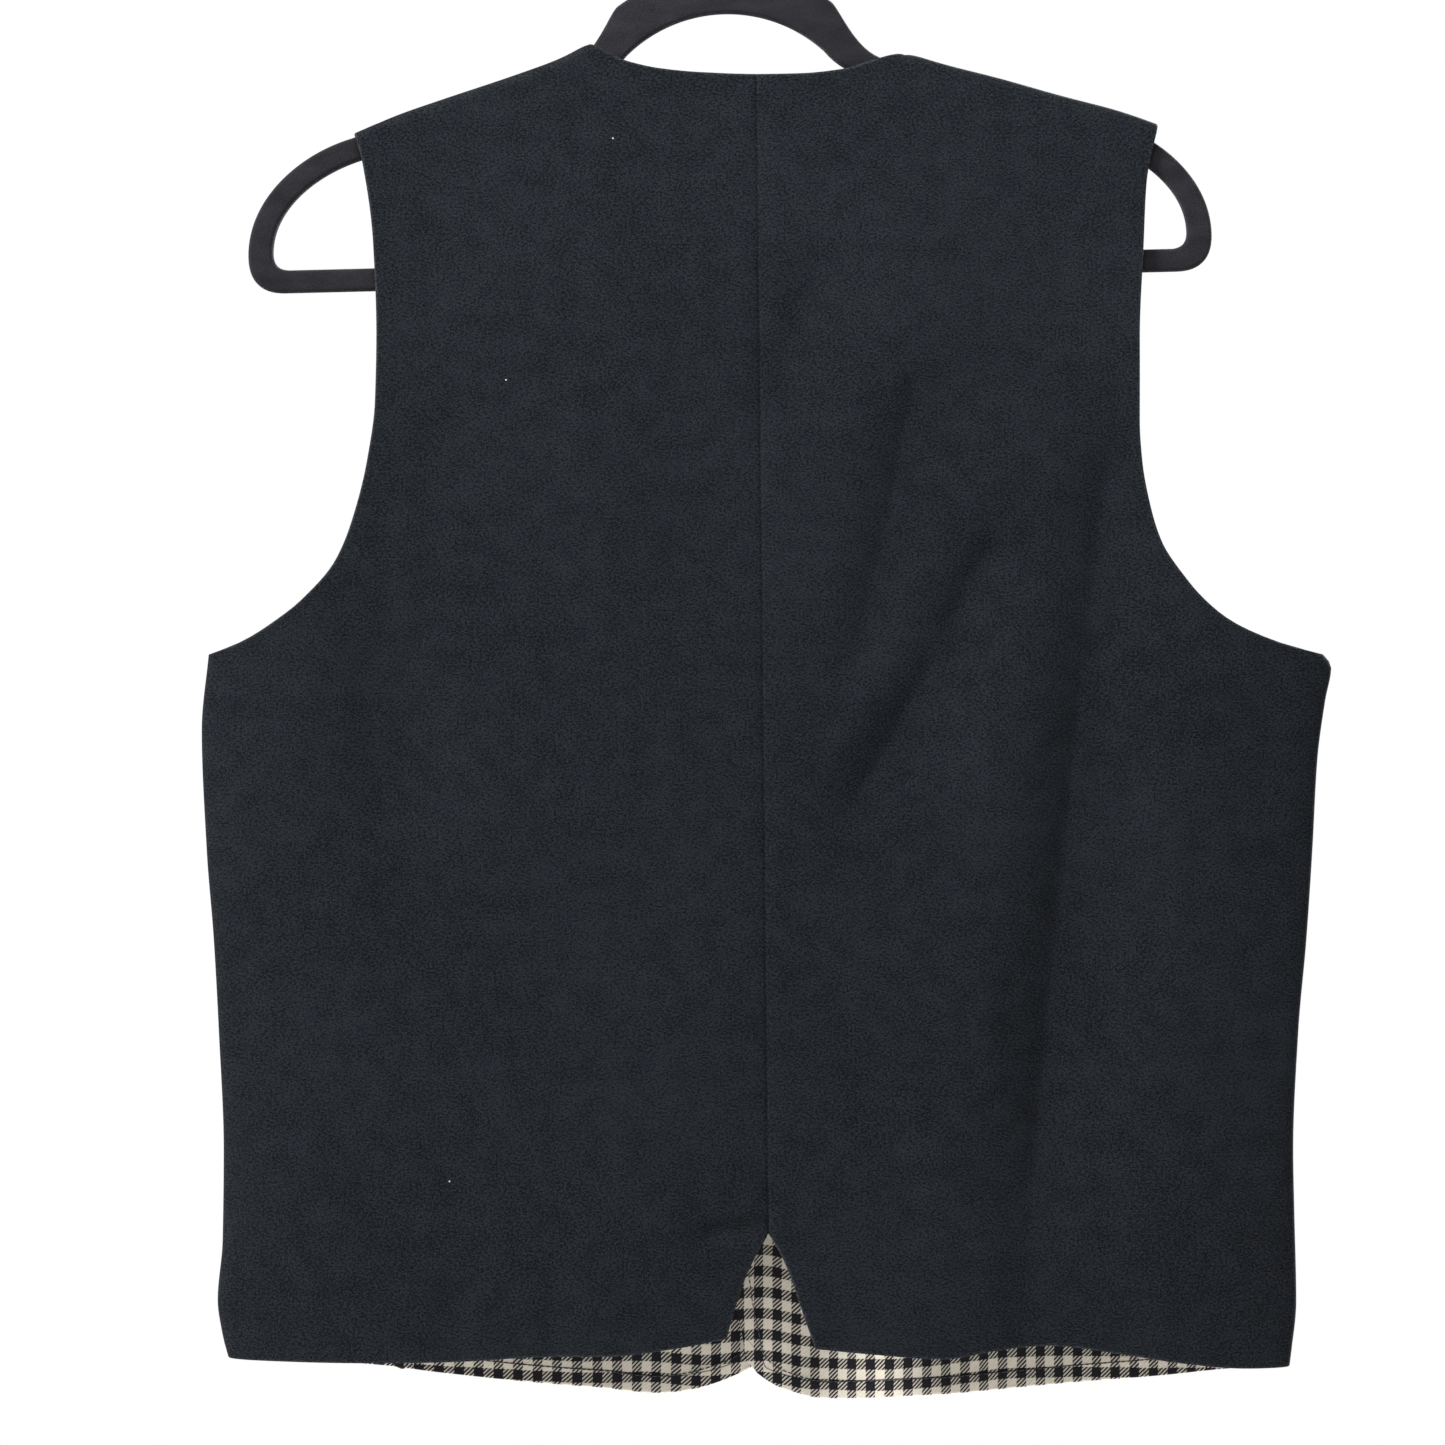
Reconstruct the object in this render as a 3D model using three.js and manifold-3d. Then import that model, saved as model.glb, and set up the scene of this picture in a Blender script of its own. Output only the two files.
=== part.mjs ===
// A plain men's waistcoat hanging on a slim flocked clothes hanger.
// Millimetres, +Z up. The origin is the inner top of the hanger's hook, where a rod carries it.
// The garment's back faces -Y and its fronts face +Y. +X is the wearer's right.

import * as THREE from 'three';
import * as BufferGeometryUtils from 'three/addons/utils/BufferGeometryUtils.js';
import Module from 'manifold-3d';

// Cloth and gaps
const CLOTH = 1.4;
const LINING = 1.0;
const GAP = 0.3;
const LINING_INSET = CLOTH / 2 + GAP + LINING / 2;

// Heights that all panels share
const PIT_Z = -402.7;
const VENT_Z = -668.5;

// The centre-back seam leans a little to the right as it goes down
const NECK_SEAM = { x: 14.8, z: -134.0 };
const SEAM_LEAN = 0.0101;

// Body depth: how the hung cloth swells from its seams
const WRAP_RADIUS = 5.2;
const WRAP_FADE = 120;
const SIDE_POWER = 8;
const CROWN = 0.35;
const BODY_DEPTH = [
  { z: -760, back: 17, front: 16 },
  { z: -669, back: 16, front: 16 },
  { z: -540, back: 15, front: 16 },
  { z: -403, back: 15, front: 16 },
  { z: -300, back: 13, front: 14 },
  { z: -200, back: 10, front: 11 },
  { z: -110, back: 8, front: 9 },
];

// Fronts: they lap by twice LAP_HALF about the centre-front line
const FRONT_CENTRE = 15;
const LAP_HALF = 14;
const LAP_SHIFT = 1.9;
const LAP_CLEAR = 3;
const LAP_RAMP = 25;
const FRONT_ARMHOLE_INSET = 13;

// Buttons
const BUTTON_RADIUS = 7.5;
const BUTTON_HEIGHT = 3;
const BUTTON_RIM = 1.4;
const BUTTON_DISH = 0.7;
const BUTTON_SIDES = 18;
const BUTTON_FIRST_Z = -376;
const BUTTON_STEP = 74;
const BUTTON_COUNT = 5;

// Shoulder ridges, from the neck point to the shoulder tip
const RIDGE_LEFT = [
  { x: -171.4, z: -161.0 },
  { x: -150.5, z: -152.1 },
  { x: -131.9, z: -145.6 },
  { x: -94.8, z: -133.1 },
  { x: -76.2, z: -126.1 },
  { x: -62.3, z: -118.7 },
];
const RIDGE_RIGHT = [
  { x: 83.5, z: -122.2 },
  { x: 100.2, z: -128.0 },
  { x: 128.1, z: -135.4 },
  { x: 156.0, z: -143.3 },
  { x: 183.8, z: -150.7 },
  { x: 201.0, z: -156.8 },
];
const NECK_POINT_LEFT = RIDGE_LEFT.at(-1);
const NECK_POINT_RIGHT = RIDGE_RIGHT[0];
const TIP_LEFT = RIDGE_LEFT[0];
const TIP_RIGHT = RIDGE_RIGHT.at(-1);

// Back neckline between the two neck points
const BACK_NECK = [
  NECK_POINT_LEFT,
  { x: -53.7, z: -123.9 },
  { x: -45.8, z: -127.6 },
  { x: -29.6, z: -131.3 },
  { x: -11.1, z: -133.1 },
  NECK_SEAM,
  { x: 35.1, z: -133.6 },
  { x: 56.0, z: -131.3 },
  { x: 67.5, z: -127.6 },
  NECK_POINT_RIGHT,
];

// Armholes of the back, from the shoulder tip to the armpit
const ARMHOLE_LEFT = [
  TIP_LEFT,
  { x: -167.2, z: -175.3 },
  { x: -162.2, z: -212.1 },
  { x: -160.3, z: -258.1 },
  { x: -160.8, z: -285.7 },
  { x: -164.4, z: -313.3 },
  { x: -171.3, z: -340.9 },
  { x: -178.9, z: -359.3 },
  { x: -194.9, z: -377.7 },
  { x: -206.8, z: -386.9 },
  { x: -221.9, z: -396.1 },
  { x: -238.9, z: PIT_Z },
];
const ARMHOLE_RIGHT = [
  TIP_RIGHT,
  { x: 195.4, z: -184.5 },
  { x: 193.9, z: -212.1 },
  { x: 191.6, z: -258.1 },
  { x: 191.7, z: -295.0 },
  { x: 193.0, z: -313.3 },
  { x: 196.3, z: -331.7 },
  { x: 201.8, z: -350.1 },
  { x: 213.8, z: -368.5 },
  { x: 222.0, z: -377.7 },
  { x: 233.6, z: -386.9 },
  { x: 254.0, z: -396.1 },
  { x: 277.9, z: PIT_Z },
];

// Side seams, from the armpit to the hem
const SIDE_LEFT = [
  { x: -238.9, z: PIT_Z },
  { x: -242.1, z: -437.5 },
  { x: -239.8, z: -493.2 },
  { x: -236.5, z: -535.0 },
  { x: -234.2, z: -576.8 },
  { x: -231.9, z: -632.5 },
  { x: -232.4, z: -674.3 },
  { x: -234.7, z: -702.1 },
  { x: -232.8, z: -716.1 },
  { x: -229.6, z: -728.6 },
];
const SIDE_RIGHT = [
  { x: 277.9, z: PIT_Z },
  { x: 281.6, z: -408.0 },
  { x: 278.8, z: -423.5 },
  { x: 275.1, z: -451.4 },
  { x: 272.8, z: -493.2 },
  { x: 270.0, z: -535.0 },
  { x: 266.3, z: -576.8 },
  { x: 263.9, z: -632.5 },
  { x: 264.4, z: -660.4 },
  { x: 265.3, z: -702.1 },
  { x: 262.1, z: -732.6 },
];

// Edges of the vent, from its top to the corners at the hem
const VENT_LEFT = [
  { x: 20.6, z: VENT_Z },
  { x: 14.0, z: -679.9 },
  { x: 9.8, z: -689.1 },
  { x: 6.6, z: -698.3 },
  { x: 4.0, z: -706.5 },
  { x: 1.2, z: -716.7 },
];
const VENT_RIGHT = [
  { x: 20.6, z: VENT_Z },
  { x: 26.9, z: -679.9 },
  { x: 31.2, z: -690.0 },
  { x: 34.4, z: -700.0 },
  { x: 38.0, z: -710.2 },
  { x: 41.9, z: -721.2 },
];

// Hem of the back, from the sides to the vent
const HEM_BACK_LEFT = [
  { x: -229.6, z: -728.6 },
  { x: -176.6, z: -728.6 },
  { x: -133.4, z: -728.2 },
  { x: -82.3, z: -725.0 },
  { x: -52.0, z: -724.5 },
  { x: -20.2, z: -720.8 },
  { x: 1.2, z: -716.7 },
];
const HEM_BACK_RIGHT = [
  { x: 41.9, z: -721.2 },
  { x: 61.6, z: -723.1 },
  { x: 102.1, z: -725.9 },
  { x: 123.7, z: -722.7 },
  { x: 151.0, z: -720.8 },
  { x: 184.9, z: -725.0 },
  { x: 213.0, z: -729.1 },
  { x: 239.7, z: -731.9 },
  { x: 262.1, z: -732.6 },
];

// Neck and centre edges of the fronts, from the neck point down to the rounded corner
const FRONT_EDGE_LEFT = [
  NECK_POINT_LEFT,
  { x: -53, z: -160 },
  { x: -33, z: -220 },
  { x: -9, z: -280 },
  { x: 13, z: -330 },
  { x: 26, z: -362 },
  { x: FRONT_CENTRE + LAP_HALF, z: -385 },
  { x: FRONT_CENTRE + LAP_HALF, z: -640 },
  { x: 26.5, z: -680 },
  { x: 22.8, z: -712 },
  { x: 20.2, z: -727 },
  { x: 13.0, z: -736.8 },
];
const FRONT_EDGE_RIGHT = [
  NECK_POINT_RIGHT,
  { x: 77, z: -160 },
  { x: 60, z: -220 },
  { x: 38, z: -280 },
  { x: 17, z: -330 },
  { x: 4, z: -362 },
  { x: FRONT_CENTRE - LAP_HALF, z: -385 },
  { x: FRONT_CENTRE - LAP_HALF, z: -640 },
  { x: 2.5, z: -680 },
  { x: 5.2, z: -705 },
  { x: 8.6, z: -722 },
  { x: 10.6, z: -732 },
  { x: 15.5, z: -739.0 },
];

// Hems of the fronts: rounded at the centre, meeting the back's hem at the sides
const HEM_FRONT_LEFT = [
  { x: -229.6, z: -728.6 },
  { x: -200.0, z: -731.0 },
  { x: -159.0, z: -734.7 },
  { x: -133.0, z: -738.5 },
  { x: -94.0, z: -743.2 },
  { x: -61.5, z: -745.5 },
  { x: -32.0, z: -748.6 },
  { x: -13.0, z: -746.5 },
  { x: -4.0, z: -744.1 },
  { x: 5.6, z: -740.4 },
  { x: 13.0, z: -736.8 },
];
const HEM_FRONT_RIGHT = [
  { x: 15.5, z: -739.0 },
  { x: 23.5, z: -744.6 },
  { x: 31.0, z: -747.4 },
  { x: 42.7, z: -750.7 },
  { x: 52.0, z: -751.4 },
  { x: 95.0, z: -749.3 },
  { x: 149.0, z: -744.6 },
  { x: 198.6, z: -739.9 },
  { x: 262.1, z: -732.6 },
];

// Largest folds of the back, each a soft trough from its top end to its low end.
// bend moves its middle sideways, and tail is how much of its depth is left at the low end.
const FOLDS = [
  { x0: 181, z0: -235, x1: 122, z1: -735, bend: -4, width: 15, depth: 5.0, tail: 0.6 },
  { x0: 126, z0: -318, x1: 28, z1: -498, bend: 3, width: 13, depth: 3.2, tail: 0 },
  { x0: 84, z0: -262, x1: 18, z1: -436, bend: 3, width: 12, depth: 2.6, tail: 0 },
  { x0: 40, z0: -196, x1: 4, z1: -316, bend: 2, width: 11, depth: 1.7, tail: 0 },
  { x0: -178, z0: -352, x1: -154, z1: -500, bend: 3, width: 16, depth: 2.0, tail: 0 },
  { x0: -66, z0: -470, x1: -4, z1: -566, bend: -3, width: 12, depth: 1.5, tail: 0 },
];
const FOLD_END = 0.28;

// Grid lines of the panels. Rows run in three zones: neck to armpit, armpit to vent, vent to hem.
const BACK_ROWS = [
  [0.0028, 0.01, 0.024, 0.05, 0.1, 0.18, 0.28, 0.39, 0.5, 0.6, 0.69, 0.77, 0.84, 0.9, 0.95, 0.98, 1],
  [0.17, 0.34, 0.5, 0.67, 0.84, 1],
  [0.2, 0.45, 0.68, 0.88, 1],
];
const FRONT_ROWS = [
  [0.0028, 0.01, 0.024, 0.06, 0.14, 0.25, 0.38, 0.5, 0.62, 0.74, 0.84, 0.92, 0.97, 1],
  [0.2, 0.4, 0.6, 0.8, 1],
  [0.3, 0.58, 0.8, 0.93, 1],
];
const LINING_FIRST_ROW = 4;
const SIDE_COLUMNS = [0.953, 0.977, 0.99, 0.997, 1];
const LAST_EVEN_COLUMN = 0.915;
const CORNER_COLUMNS = [0, 0.014, 0.038, 0.075];
const NECK_POINT_COLUMNS = [0.93, 0.975, 1];
const LAST_EVEN_NECK_COLUMN = 0.84;

// Hanger, in its own upright frame: it hangs a little to the left of the hook and a little tilted
const HANGER_TILT = THREE.MathUtils.degToRad(-1.4);
const HANGER_OFFSET = -2.4;
const HANGER_THICK = 5.5;
const HANGER_BEVEL = 1.6;
const HUMP_CENTRE_Z = -171.4;
const HUMP_OUTER = 86.4;
const HUMP_INNER = 66.4;
const HUMP_OUTER_END = THREE.MathUtils.degToRad(55);
const HUMP_INNER_END = THREE.MathUtils.degToRad(46);
const BAR_TOP_Z = -219.2;
const BAR_LOW_Z = -229.7;

// Hook: a wire with a round loop, a neck and a small foot on the hump
const HOOK_WIRE = 1.75;
const HOOK_LOOP = 20 + HOOK_WIRE;
const HOOK_LOOP_Z = -20;
const HOOK_TIP_ANGLE = 200;
const HOOK_NECK_ANGLE = -40;
const HOOK_LOOP_STEPS = 12;
const HOOK_FOOT_RADIUS = 5;
const HOOK_FOOT_HEIGHT = 3;
const HOOK_SIDES = 8;
const HOOK_STEPS = 44;
const HOOK_FOOT_Z = HUMP_CENTRE_Z + HUMP_OUTER + GAP;

// A smooth curve through a table's rows that never overshoots them.
// Each row gets a slope that is the harmonic mean of its two neighbours' slopes.
function through(rows, key, value) {
  const sorted = [...rows].sort((a, b) => a[key] - b[key]);
  const at = sorted.map((row) => row[key]);
  const to = sorted.map((row) => row[value]);
  const slopes = at.slice(1).map((k, i) => (to[i + 1] - to[i]) / (k - at[i]));
  const tangents = at.map((_, i) => {
    if (i === 0) return slopes[0];
    if (i === at.length - 1) return slopes.at(-1);
    const product = slopes[i - 1] * slopes[i];
    return product > 0 ? (2 * product) / (slopes[i - 1] + slopes[i]) : 0;
  });
  return (k) => {
    const last = at.length - 1;
    if (k <= at[0]) return to[0] + (k - at[0]) * tangents[0];
    if (k >= at[last]) return to[last] + (k - at[last]) * tangents[last];
    const i = at.findIndex((_, j) => k <= at[j + 1]);
    const span = at[i + 1] - at[i];
    const t = (k - at[i]) / span;
    const startShare = (1 + 2 * t) * (1 - t) ** 2;
    const endShare = t * t * (3 - 2 * t);
    const startSlope = t * (1 - t) ** 2 * span * tangents[i];
    const endSlope = t * t * (t - 1) * span * tangents[i + 1];
    return startShare * to[i] + endShare * to[i + 1] + startSlope + endSlope;
  };
}

const lerp = THREE.MathUtils.lerp;

// Smooth step from 0 to 1 with no kink at either end
function ease(t) {
  return THREE.MathUtils.smootherstep(t, 0, 1);
}

const ridgeLeft = through(RIDGE_LEFT, 'x', 'z');
const ridgeRight = through(RIDGE_RIGHT, 'x', 'z');
const backNeck = through(BACK_NECK, 'x', 'z');
const sideLeft = through(SIDE_LEFT, 'z', 'x');
const sideRight = through(SIDE_RIGHT, 'z', 'x');
const depthOf = {
  back: through(BODY_DEPTH, 'z', 'back'),
  front: through(BODY_DEPTH, 'z', 'front'),
};

function seamX(z) {
  return NECK_SEAM.x + (NECK_SEAM.z - z) * SEAM_LEAN;
}

// Height of the shoulder line at x. Between the neck points it is a straight line from one to the other.
function ridgeZ(x) {
  if (x <= NECK_POINT_LEFT.x) return ridgeLeft(x);
  if (x >= NECK_POINT_RIGHT.x) return ridgeRight(x);
  const t = (x - NECK_POINT_LEFT.x) / (NECK_POINT_RIGHT.x - NECK_POINT_LEFT.x);
  return lerp(NECK_POINT_LEFT.z, NECK_POINT_RIGHT.z, t);
}

// Place of x between the centre seam (0) and the side (1). Above the armpit the side goes straight up.
function sideShare(x, z) {
  const centre = seamX(z);
  const side = x < centre ? sideLeft(Math.min(z, PIT_Z)) : sideRight(Math.min(z, PIT_Z));
  return THREE.MathUtils.clamp((x - centre) / (side - centre), 0, 1);
}

// Distance of a panel from the middle plane: a quarter circle over the hanger,
// which eases into the body's depth, and the body closes to nothing at the side seams.
function halfDepth(face, x, z) {
  const share = sideShare(x, z);
  const section = Math.sqrt(1 - share ** SIDE_POWER) * (1 - CROWN * share * share);
  const full = depthOf[face](z) * section;
  const drop = Math.max(0, ridgeZ(x) - z);
  const rest = 1 - Math.min(drop, WRAP_RADIUS) / WRAP_RADIUS;
  const wrap = WRAP_RADIUS * Math.sqrt(1 - rest * rest);
  return GAP / 2 + wrap + (full - WRAP_RADIUS) * ease((drop - WRAP_RADIUS) / WRAP_FADE);
}

// Depth of the back's folds: across each line the trough is a bell, and it fades out at its ends
function foldDepth(x, z) {
  let sum = 0;
  for (const fold of FOLDS) {
    const t = (z - fold.z0) / (fold.z1 - fold.z0);
    if (t > 0 && t < 1) {
      const middle = lerp(fold.x0, fold.x1, t) + fold.bend * 4 * t * (1 - t);
      const across = (x - middle) / fold.width;
      const low = Math.max(ease((1 - t) / FOLD_END), fold.tail);
      sum += fold.depth * ease(t / FOLD_END) * low * Math.exp(-across * across);
    }
  }
  return sum;
}

function backY(x, z) {
  const calm = 1 - sideShare(x, z) ** SIDE_POWER;
  const below = ease((ridgeZ(x) - z - WRAP_RADIUS) / WRAP_FADE);
  return foldDepth(x, z) * calm * below - halfDepth('back', x, z);
}

// The left front lies outside the right one where they lap
function frontY(side, x, z) {
  const edge = FRONT_CENTRE + side * (LAP_HALF + LAP_CLEAR);
  const out = side * (x - edge);
  const shift = side * -LAP_SHIFT * ease(1 - out / LAP_RAMP);
  return halfDepth('front', x, z) + shift;
}

// Points of a panel's middle surface, a grid of rows from top to hem and columns from the centre to the side.
// Each row's ends lie on the panel's centre edge and outer edge, and its height eases
// from the top edge's own shape to a level line and on to the hem's shape.
function panelGrid({ rows, columns, inner, outer, top, hem, topEnds, hemEnds, depth }) {
  const steps = [0];
  rows.forEach((zone, i) => zone.forEach((f) => steps.push(i + f)));
  const heightAt = (u, v) => {
    if (v <= 1) return lerp(top(lerp(topEnds[0], topEnds[1], u)), PIT_Z, v);
    if (v <= 2) return lerp(PIT_Z, VENT_Z, v - 1);
    return lerp(VENT_Z, hem(lerp(hemEnds[0], hemEnds[1], u)), v - 2);
  };
  return steps.map((v) => {
    const start = inner(heightAt(0, v));
    const end = outer(heightAt(1, v));
    return columns.map((u) => {
      const x = lerp(start, end, u);
      const z = heightAt(u, v);
      return new THREE.Vector3(x, depth(x, z), z);
    });
  });
}

// Normals of a grid: at each point the mean of the faces around it, turned to the face's side
function gridNormals(grid, outward) {
  const faceNormal = (a, b, c, d) => {
    const normal = new THREE.Vector3().crossVectors(c.clone().sub(a), d.clone().sub(b)).normalize();
    return normal.y * outward < 0 ? normal.negate() : normal;
  };
  const cells = grid.slice(1).map((row, i) =>
    row.slice(1).map((corner, j) => faceNormal(grid[i][j], grid[i][j + 1], corner, row[j])));
  return grid.map((row, i) => row.map((_, j) => {
    const sum = new THREE.Vector3();
    for (const [a, b] of [[i - 1, j - 1], [i - 1, j], [i, j - 1], [i, j]]) {
      if (cells[a]?.[b]) sum.add(cells[a][b]);
    }
    return sum.normalize();
  }));
}

// At a seam the wall ends square to the middle plane, so that the two walls meet face to face
function squareSeams(grid, normals, side, onRidge) {
  grid[0].forEach((point, j) => {
    if (!onRidge(point.x)) return;
    const before = grid[0][Math.max(j - 1, 0)];
    const after = grid[0][Math.min(j + 1, grid[0].length - 1)];
    const from = onRidge(before.x) ? before : point;
    const along = after.clone().sub(from).setY(0).normalize();
    normals[0][j].set(-along.z, 0, along.x);
    if (normals[0][j].z < 0) normals[0][j].negate();
  });
  grid.forEach((row, i) => {
    if (row.at(-1).z <= PIT_Z + 0.01) normals[i][row.length - 1].set(side, 0, 0);
  });
}

// A closed wall: the grid moved out and in by half the thickness, joined round the rim
function wall(grid, normals, thickness, inset = 0) {
  const height = grid.length;
  const width = grid[0].length;
  const positions = [];
  for (const level of [thickness / 2 - inset, -thickness / 2 - inset]) {
    grid.forEach((row, i) => row.forEach((point, j) => {
      positions.push(...point.clone().addScaledVector(normals[i][j], level).toArray());
    }));
  }
  const at = (layer, i, j) => layer * height * width + i * width + j;
  const index = [];
  const quad = (a, b, c, d) => index.push(a, b, c, a, c, d);
  for (let i = 0; i < height - 1; i += 1) {
    for (let j = 0; j < width - 1; j += 1) {
      quad(at(0, i, j), at(0, i + 1, j), at(0, i + 1, j + 1), at(0, i, j + 1));
      quad(at(1, i, j), at(1, i, j + 1), at(1, i + 1, j + 1), at(1, i + 1, j));
    }
    quad(at(0, i, 0), at(1, i, 0), at(1, i + 1, 0), at(0, i + 1, 0));
    quad(at(0, i + 1, width - 1), at(1, i + 1, width - 1), at(1, i, width - 1), at(0, i, width - 1));
  }
  for (let j = 0; j < width - 1; j += 1) {
    quad(at(0, 0, j + 1), at(1, 0, j + 1), at(1, 0, j), at(0, 0, j));
    quad(at(0, height - 1, j), at(1, height - 1, j), at(1, height - 1, j + 1), at(0, height - 1, j + 1));
  }
  const geometry = new THREE.BufferGeometry();
  geometry.setAttribute('position', new THREE.Float32BufferAttribute(positions, 3));
  geometry.setIndex(signedVolume(positions, index) < 0 ? index.reverse() : index);
  return geometry;
}

function signedVolume(positions, index) {
  const corner = (i) => new THREE.Vector3().fromArray(positions, index[i] * 3);
  let sum = 0;
  for (let i = 0; i < index.length; i += 3) {
    sum += corner(i).dot(corner(i + 1).cross(corner(i + 2)));
  }
  return sum;
}

// Even columns from one share of the width to another
function evenColumns(from, to, count) {
  return Array.from({ length: count }, (_, i) => lerp(from, to, (i + 1) / count));
}

// One half of the back. side is -1 on the left and 1 on the right.
function backPanel(side, neckColumns, shoulderColumns) {
  const left = side < 0;
  const tip = left ? TIP_LEFT : TIP_RIGHT;
  const neckPoint = left ? NECK_POINT_LEFT : NECK_POINT_RIGHT;
  const vent = through(left ? VENT_LEFT : VENT_RIGHT, 'z', 'x');
  const armhole = through(left ? ARMHOLE_LEFT : ARMHOLE_RIGHT, 'z', 'x');
  const sideEdge = left ? sideLeft : sideRight;
  const hemRows = left ? HEM_BACK_LEFT : HEM_BACK_RIGHT;
  const seamGap = side * GAP / 2;
  const hemCorner = left ? hemRows.at(-1) : hemRows[0];
  const sideCorner = left ? hemRows[0] : hemRows.at(-1);
  const neckShare = (neckPoint.x - NECK_SEAM.x) / (tip.x - NECK_SEAM.x);
  const isShoulder = (x) => side * (x - neckPoint.x) > -0.01;
  const grid = panelGrid({
    rows: BACK_ROWS,
    columns: [
      0,
      ...evenColumns(0, neckShare * LAST_EVEN_NECK_COLUMN, neckColumns),
      ...NECK_POINT_COLUMNS.map((share) => share * neckShare),
      ...evenColumns(neckShare, LAST_EVEN_COLUMN, shoulderColumns),
      ...SIDE_COLUMNS,
    ],
    inner: (z) => (z < VENT_Z ? vent(z) : seamX(z)) + seamGap,
    outer: (z) => (z > PIT_Z ? armhole(z) : sideEdge(z)),
    top: (x) => (isShoulder(x) ? ridgeZ(x) : backNeck(x)),
    hem: through(hemRows, 'x', 'z'),
    topEnds: [NECK_SEAM.x, tip.x],
    hemEnds: [hemCorner.x, sideCorner.x],
    depth: backY,
  });
  const normals = gridNormals(grid, -1);
  squareSeams(grid, normals, side, isShoulder);
  return { grid, normals };
}

// One front. It ends at the neck edge, the lapped centre edge and a rounded corner.
function frontPanel(side) {
  const left = side < 0;
  const tip = left ? TIP_LEFT : TIP_RIGHT;
  const neckPoint = left ? NECK_POINT_LEFT : NECK_POINT_RIGHT;
  const armhole = through(left ? ARMHOLE_LEFT : ARMHOLE_RIGHT, 'z', 'x');
  const sideEdge = left ? sideLeft : sideRight;
  const hemRows = left ? HEM_FRONT_LEFT : HEM_FRONT_RIGHT;
  const hemCorner = left ? hemRows.at(-1) : hemRows[0];
  const sideCorner = left ? hemRows[0] : hemRows.at(-1);
  const armholeInset = (z) => Math.sin(Math.PI * (z - tip.z) / (PIT_Z - tip.z)) * FRONT_ARMHOLE_INSET;
  const grid = panelGrid({
    rows: FRONT_ROWS,
    columns: [
      ...CORNER_COLUMNS,
      ...evenColumns(CORNER_COLUMNS.at(-1), LAST_EVEN_COLUMN, 6),
      ...SIDE_COLUMNS,
    ],
    inner: through(left ? FRONT_EDGE_LEFT : FRONT_EDGE_RIGHT, 'z', 'x'),
    outer: (z) => (z > PIT_Z ? armhole(z) - side * armholeInset(z) : sideEdge(z)),
    top: ridgeZ,
    hem: through(hemRows, 'x', 'z'),
    topEnds: [neckPoint.x, tip.x],
    hemEnds: [hemCorner.x, sideCorner.x],
    depth: (x, z) => frontY(side, x, z),
  });
  const normals = gridNormals(grid, 1);
  squareSeams(grid, normals, side, () => true);
  return { grid, normals };
}

// The lining follows its front's points, moved in, and starts just below the shoulder
function liningWall({ grid, normals }) {
  return wall(grid.slice(LINING_FIRST_ROW), normals.slice(LINING_FIRST_ROW), LINING, LINING_INSET);
}

// A round button with a raised rim and a dished middle, its back at y = 0 and its face towards +Y
function buttonGeometry() {
  const profile = [
    [0, 0],
    [BUTTON_RADIUS - 1, 0],
    [BUTTON_RADIUS, 1],
    [BUTTON_RADIUS - 0.5, BUTTON_HEIGHT - 0.4],
    [BUTTON_RADIUS - BUTTON_RIM, BUTTON_HEIGHT],
    [BUTTON_RADIUS - BUTTON_RIM * 2, BUTTON_HEIGHT - BUTTON_DISH],
    [0, BUTTON_HEIGHT - BUTTON_DISH],
  ];
  return new THREE.LatheGeometry(profile.map(([r, h]) => new THREE.Vector2(r, h)), BUTTON_SIDES);
}

// Half of the hanger's outer edge, from the top of the hump to the middle of the bar
function hangerOuter(path, side) {
  const start = Math.PI / 2;
  const end = side > 0 ? HUMP_OUTER_END : Math.PI - HUMP_OUTER_END;
  path.absarc(0, HUMP_CENTRE_Z, HUMP_OUTER, start, end, side > 0);
  path.bezierCurveTo(side * 54, -104.2, side * 61.5, -127.6, side * 77, -128.4);
  path.lineTo(side * 174.5, -158.8);
  path.bezierCurveTo(side * 199, -165.5, side * 223.6, -186, side * 223.6, -213);
  path.bezierCurveTo(side * 223.6, -225, side * 217, BAR_LOW_Z, side * 207, BAR_LOW_Z);
  path.lineTo(0, BAR_LOW_Z);
}

// The hole's corners: under the hump, along the arm, round the end and back along the bar
function hangerHole(path, side) {
  const start = Math.PI / 2;
  const end = side > 0 ? HUMP_INNER_END : Math.PI - HUMP_INNER_END;
  path.absarc(0, HUMP_CENTRE_Z, HUMP_INNER, start, end, side > 0);
  path.quadraticCurveTo(side * 52.5, -131.8, side * 64, -135.6);
  path.lineTo(side * 171.5, -169.3);
  path.bezierCurveTo(side * 193, -176, side * 212, -192, side * 212, -211.5);
  path.quadraticCurveTo(side * 212, BAR_TOP_Z, side * 204, BAR_TOP_Z);
  path.lineTo(0, BAR_TOP_Z);
}

// A closed outline from a right half and the mirrored left half, as one counter-clockwise ring of points
function mirroredRing(draw, divisions) {
  const half = (side) => {
    const path = new THREE.Path();
    draw(path, side);
    return path.getPoints(divisions);
  };
  const right = half(1).reverse();
  const left = half(-1);
  return [...right, ...left.slice(1, -1)];
}

function hangerGeometry() {
  const shape = new THREE.Shape(mirroredRing(hangerOuter, 7));
  shape.holes.push(new THREE.Path(mirroredRing(hangerHole, 6)));
  const geometry = new THREE.ExtrudeGeometry(shape, {
    depth: HANGER_THICK - 2 * HANGER_BEVEL,
    bevelThickness: HANGER_BEVEL,
    bevelSize: HANGER_BEVEL,
    bevelOffset: -HANGER_BEVEL,
    bevelSegments: 2,
  });
  geometry.translate(0, 0, HANGER_BEVEL - HANGER_THICK / 2);
  return geometry.rotateX(Math.PI / 2);
}

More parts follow.
